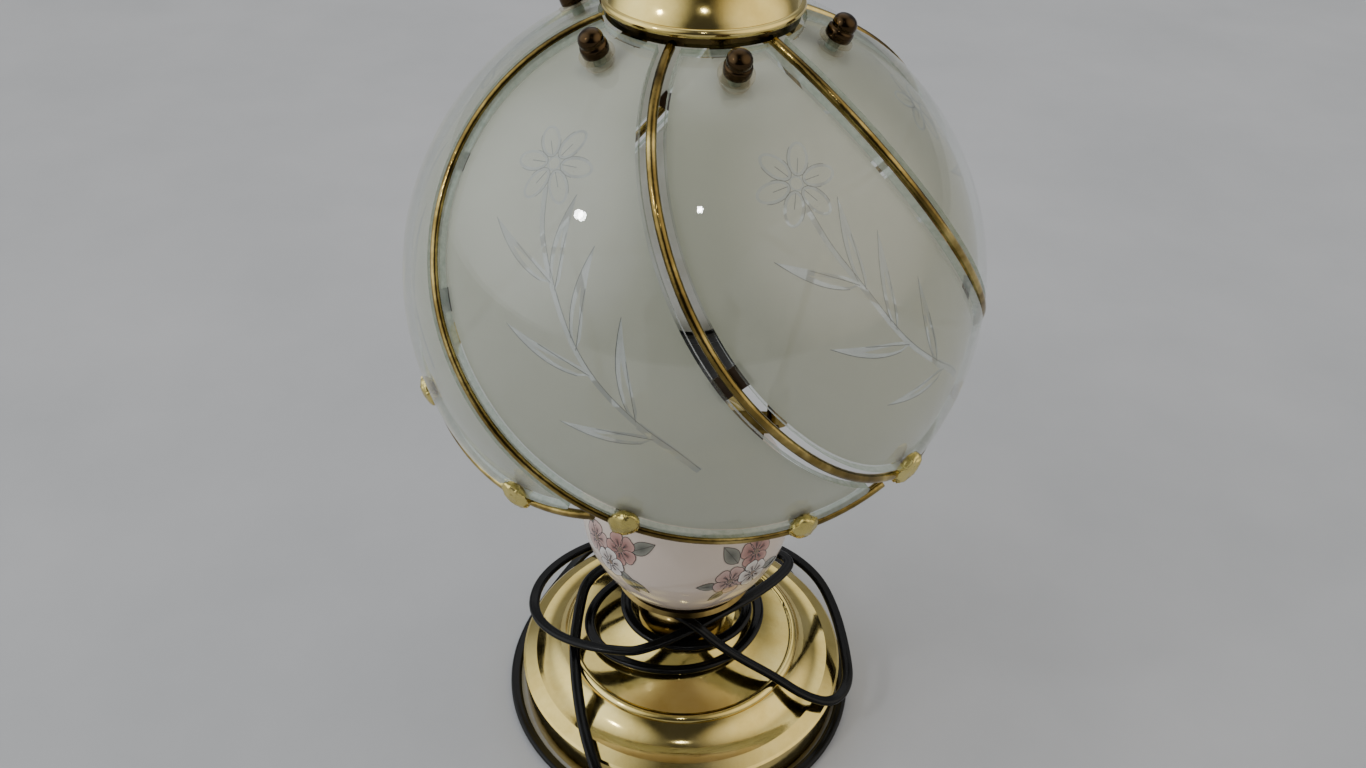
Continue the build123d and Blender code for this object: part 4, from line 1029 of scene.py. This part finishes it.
class Print:
    """Coloured patches laid on the egg-shaped body."""

    def __init__(self, azimuth):
        self.azimuth = azimuth
        self.points = []
        self.colours = []
        self.faces = []

    def add(self, point, colour, height):
        latitude = point.y / PRINT_R
        azimuth = math.radians(self.azimuth) + point.x / (BODY_R * math.cos(latitude))
        wide = (BODY_R + height) * math.cos(latitude)
        rise = BODY_Z + (BODY_HALF_H + height) * math.sin(latitude)
        self.points.append((wide * math.cos(azimuth) * MM, wide * math.sin(azimuth) * MM, rise * MM))
        self.colours.append((*colour, 1.0))
        return len(self.points) - 1

    def patch(self, outline, heart, shades, height):
        """Filled shape, darker at its heart, in rings so that it follows the curve."""
        rings = []
        for share in PATCH_RINGS:
            mixed = [a + (b - a) * share for a, b in zip(*shades)]
            rings.append([self.add(heart + (p - heart) * share, mixed, height) for p in outline])
        tip = self.add(heart, shades[0], height)
        count = len(outline)
        for outer, inner in zip(rings, rings[1:]):
            for i in range(count):
                j = (i + 1) % count
                self.faces.append((outer[i], outer[j], inner[j], inner[i]))
        for i in range(count):
            self.faces.append((rings[-1][i], rings[-1][(i + 1) % count], tip))

    def line(self, outline, width, height, closed=True):
        """Thin dark line along an outline."""
        count = len(outline)
        left = []
        right = []
        for i, here in enumerate(outline):
            before = outline[i - 1] if closed or i else here
            after = outline[(i + 1) % count] if closed or i < count - 1 else here
            across = square((after - before).normalized()) * (width / 2)
            left.append(self.add(here + across, INK_LINE, height))
            right.append(self.add(here - across, INK_LINE, height))
        for i in range(count if closed else count - 1):
            j = (i + 1) % count
            self.faces.append((left[i], right[i], right[j], left[j]))

    def blossom(self, centre, radius, spin, shades, height):
        for k in range(BLOSSOM_PETALS):
            along = heading(spin + 360 / BLOSSOM_PETALS * k)
            across = square(along)
            outline = []
            for i in range(BLOSSOM_POINTS):
                t = 2 * math.pi * i / BLOSSOM_POINTS
                from_tip = t if t < math.pi else t - 2 * math.pi
                notch = NOTCH_DEEP * math.exp(-(from_tip / NOTCH_WIDE) ** 2)
                far = PETAL_MIDDLE + PETAL_HALF[0] * math.cos(t) - notch
                taper = PETAL_TAPER[0] + PETAL_TAPER[1] * math.cos(t)
                wide = PETAL_HALF[1] * math.sin(t) * taper
                outline.append(centre + along * (radius * far) + across * (radius * wide))
            level = height + PETAL_LIFT * k
            self.patch(outline, centre + along * (radius * BLOSSOM_HEART), shades, level)
            self.line(outline, OUTLINE_W, level + LINE_LIFT)
            for lean in VEIN_LEANS:
                vein = [centre + (along + across * (lean * t)) * (radius * t) for t in VEIN_SHARES]
                self.line(vein, VEIN_W, level + LINE_LIFT, closed=False)
        middle = disc(centre, radius * CENTRE_R, CENTRE_POINTS)
        self.patch(middle, centre, CENTRE, height + CENTRE_LIFT)
        for k in range(DOTS):
            dot = centre + heading(360 / DOTS * k + spin) * (radius * DOT_REACH[k % 2])
            self.patch(disc(dot, DOT_R, DOT_POINTS), dot, (INK_LINE, INK_LINE), height + DOT_LIFT)

    def leaf(self, base, tip, half_width):
        along = tip - base
        across = square(along).normalized()
        left = []
        right = []
        for i in range(PRINT_LEAF_STEPS + 1):
            t = i / PRINT_LEAF_STEPS
            wide = half_width * math.sin(math.pi * t ** PRINT_LEAF_LEAN) + PRINT_LEAF_LEAST
            left.append(base + along * t + across * wide)
            right.append(base + along * t - across * wide)
        outline = left + right[-2:0:-1]
        vein = [base + along * (i / PRINT_VEIN_STEPS) for i in range(PRINT_VEIN_STEPS + 1)]
        self.patch(outline, base + along * 0.5, GREEN, LEAF_LIFT)
        self.line(outline, OUTLINE_W, LEAF_LIFT + LINE_LIFT)
        self.line(vein, VEIN_W, LEAF_LIFT + LINE_LIFT, closed=False)

    def make(self, name):
        mesh = bpy.data.meshes.new(name)
        mesh.from_pydata(self.points, [], self.faces)
        ink = mesh.color_attributes.new("ink", "FLOAT_COLOR", "POINT")
        for i, colour in enumerate(self.colours):
            ink.data[i].color = colour
        mesh.shade_smooth()
        piece = new_piece(name, mesh, DECAL, "stand")


SPRAYS_AZ = (-131.0, -58.0, 14.0, 86.0, 157.0)
# A spray: leaves by foot, tip and half width, then blossoms by middle, radius, spin, inks and height
LEFT_SPRAY = (
    (
        ((9, 7), (19.5, 14), 3.2), ((4, -6), (12, -17), 3.0),
        ((-12, 6), (-22, 12), 2.8), ((8, -9), (17, -15), 2.2),
    ),
    (
        ((-10.5, 2.5), 8.2, 20, BLUSH, 0.12), ((4.2, 5.6), 8.4, 50, ROSE, 0.16),
        ((-1.2, -4.6), 7.8, 85, WHITE, 0.28),
    ),
)
RIGHT_SPRAY = (
    (
        ((-3, 3), (-9, 13), 3.6), ((11, -6), (24, -13), 3.0),
        ((-11, -7.5), (-21, -7), 2.4), ((-8, -12), (-14, -19), 2.0),
    ),
    (
        ((6.2, 5.0), 8.6, 10, ROSE, 0.12), ((-6.0, -6.3), 8.4, 60, BLUSH, 0.16),
        ((5, -6.6), 7.8, 30, WHITE, 0.28),
    ),
)


def spray(name, azimuth, leaves, blossoms):
    drawing = Print(azimuth)
    for base, tip, half_width in leaves:
        drawing.leaf(Vector(base), Vector(tip), half_width)
    for centre, radius, spin, shades, height in blossoms:
        drawing.blossom(Vector(centre), radius, spin, shades, height)
    drawing.make(name)


for k, az in enumerate(SPRAYS_AZ):
    spray(f"blossom_print_{k + 1}", az, *(RIGHT_SPRAY if k % 2 else LEFT_SPRAY))

# Stage and light

FLOOR_HALF = 9.0
FLOOR_DROP = 0.0002
corners = [(x * FLOOR_HALF, y * FLOOR_HALF, 0) for x, y in ((-1, -1), (1, -1), (1, 1), (-1, 1))]
floor_mesh = bpy.data.meshes.new("floor")
floor_mesh.from_pydata(corners, [], [(0, 1, 2, 3)])
floor = bpy.data.objects.new("floor", floor_mesh)
floor.location.z = -FLOOR_DROP
scene.collection.objects.link(floor)
FLOOR = plain("floor", (0.46, 0.47, 0.485), (0.52, 0.525, 0.54), (0.5, 0.6), scale=6.0, bump=0.0)
floor_mesh.materials.append(FLOOR)


def area_light(name, place, aim, size, power):
    data = bpy.data.lights.new(name, "AREA")
    data.shape = "DISK"
    data.size = size
    data.energy = power
    light = bpy.data.objects.new(name, data)
    light.location = place
    light.rotation_euler = (Vector(aim) - Vector(place)).to_track_quat("-Z", "Y").to_euler()
    scene.collection.objects.link(light)


LIGHT_AIM = (0, 0, 0.15)
area_light("key", (-1.1, -0.7, 1.3), LIGHT_AIM, size=0.10, power=2.4)
area_light("front", (0.03, -0.9, 1.5), LIGHT_AIM, size=0.05, power=0.9)
world = bpy.data.worlds.new("studio")
scene.world = world
world.use_nodes = True
tree = world.node_tree
tree.nodes.clear()
output = tree.nodes.new("ShaderNodeOutputWorld")
coords = tree.nodes.new("ShaderNodeTexCoord")


def glow(axis, edge, low, high, strength):
    """Soft light from the studio's sky, brightest along an axis and fading to an edge."""
    facing = tree.nodes.new("ShaderNodeVectorMath")
    facing.operation = "DOT_PRODUCT"
    facing.inputs[1].default_value = Vector(axis).normalized()
    tree.links.new(coords.outputs["Generated"], facing.inputs[0])
    fade = tree.nodes.new("ShaderNodeValToRGB")
    fade.color_ramp.interpolation = "EASE"
    fade.color_ramp.elements[0].position = edge
    fade.color_ramp.elements[0].color = (*low, 1)
    fade.color_ramp.elements[1].position = 1.0
    fade.color_ramp.elements[1].color = (*high, 1)
    tree.links.new(facing.outputs["Value"], fade.inputs["Fac"])
    background = tree.nodes.new("ShaderNodeBackground")
    background.inputs["Strength"].default_value = strength
    tree.links.new(fade.outputs["Color"], background.inputs["Color"])
    return background.outputs[0]


def both(first, second):
    node = tree.nodes.new("ShaderNodeAddShader")
    tree.links.new(first, node.inputs[0])
    tree.links.new(second, node.inputs[1])
    return node.outputs[0]


# Soft lights of the sky: axis, edge, colour at the edge, colour along the axis, strength
DARK = (0.0, 0.0, 0.0)
BACK = ((0.0, 0.9, 0.45), 0.0, (0.13, 0.13, 0.135), (0.60, 0.62, 0.66), 0.45)
LEFT = ((-0.86, -0.16, 0.48), 0.56, DARK, (0.94, 0.97, 1.0), 1.8)
RIGHT = ((0.84, -0.22, 0.50), 0.60, DARK, (1.0, 0.94, 0.84), 1.35)
TOP = ((0.0, 0.55, 0.84), 0.78, DARK, (1.0, 1.0, 1.0), 0.9)
sky = both(both(glow(*BACK), glow(*LEFT)), both(glow(*RIGHT), glow(*TOP)))
tree.links.new(sky, output.inputs["Surface"])
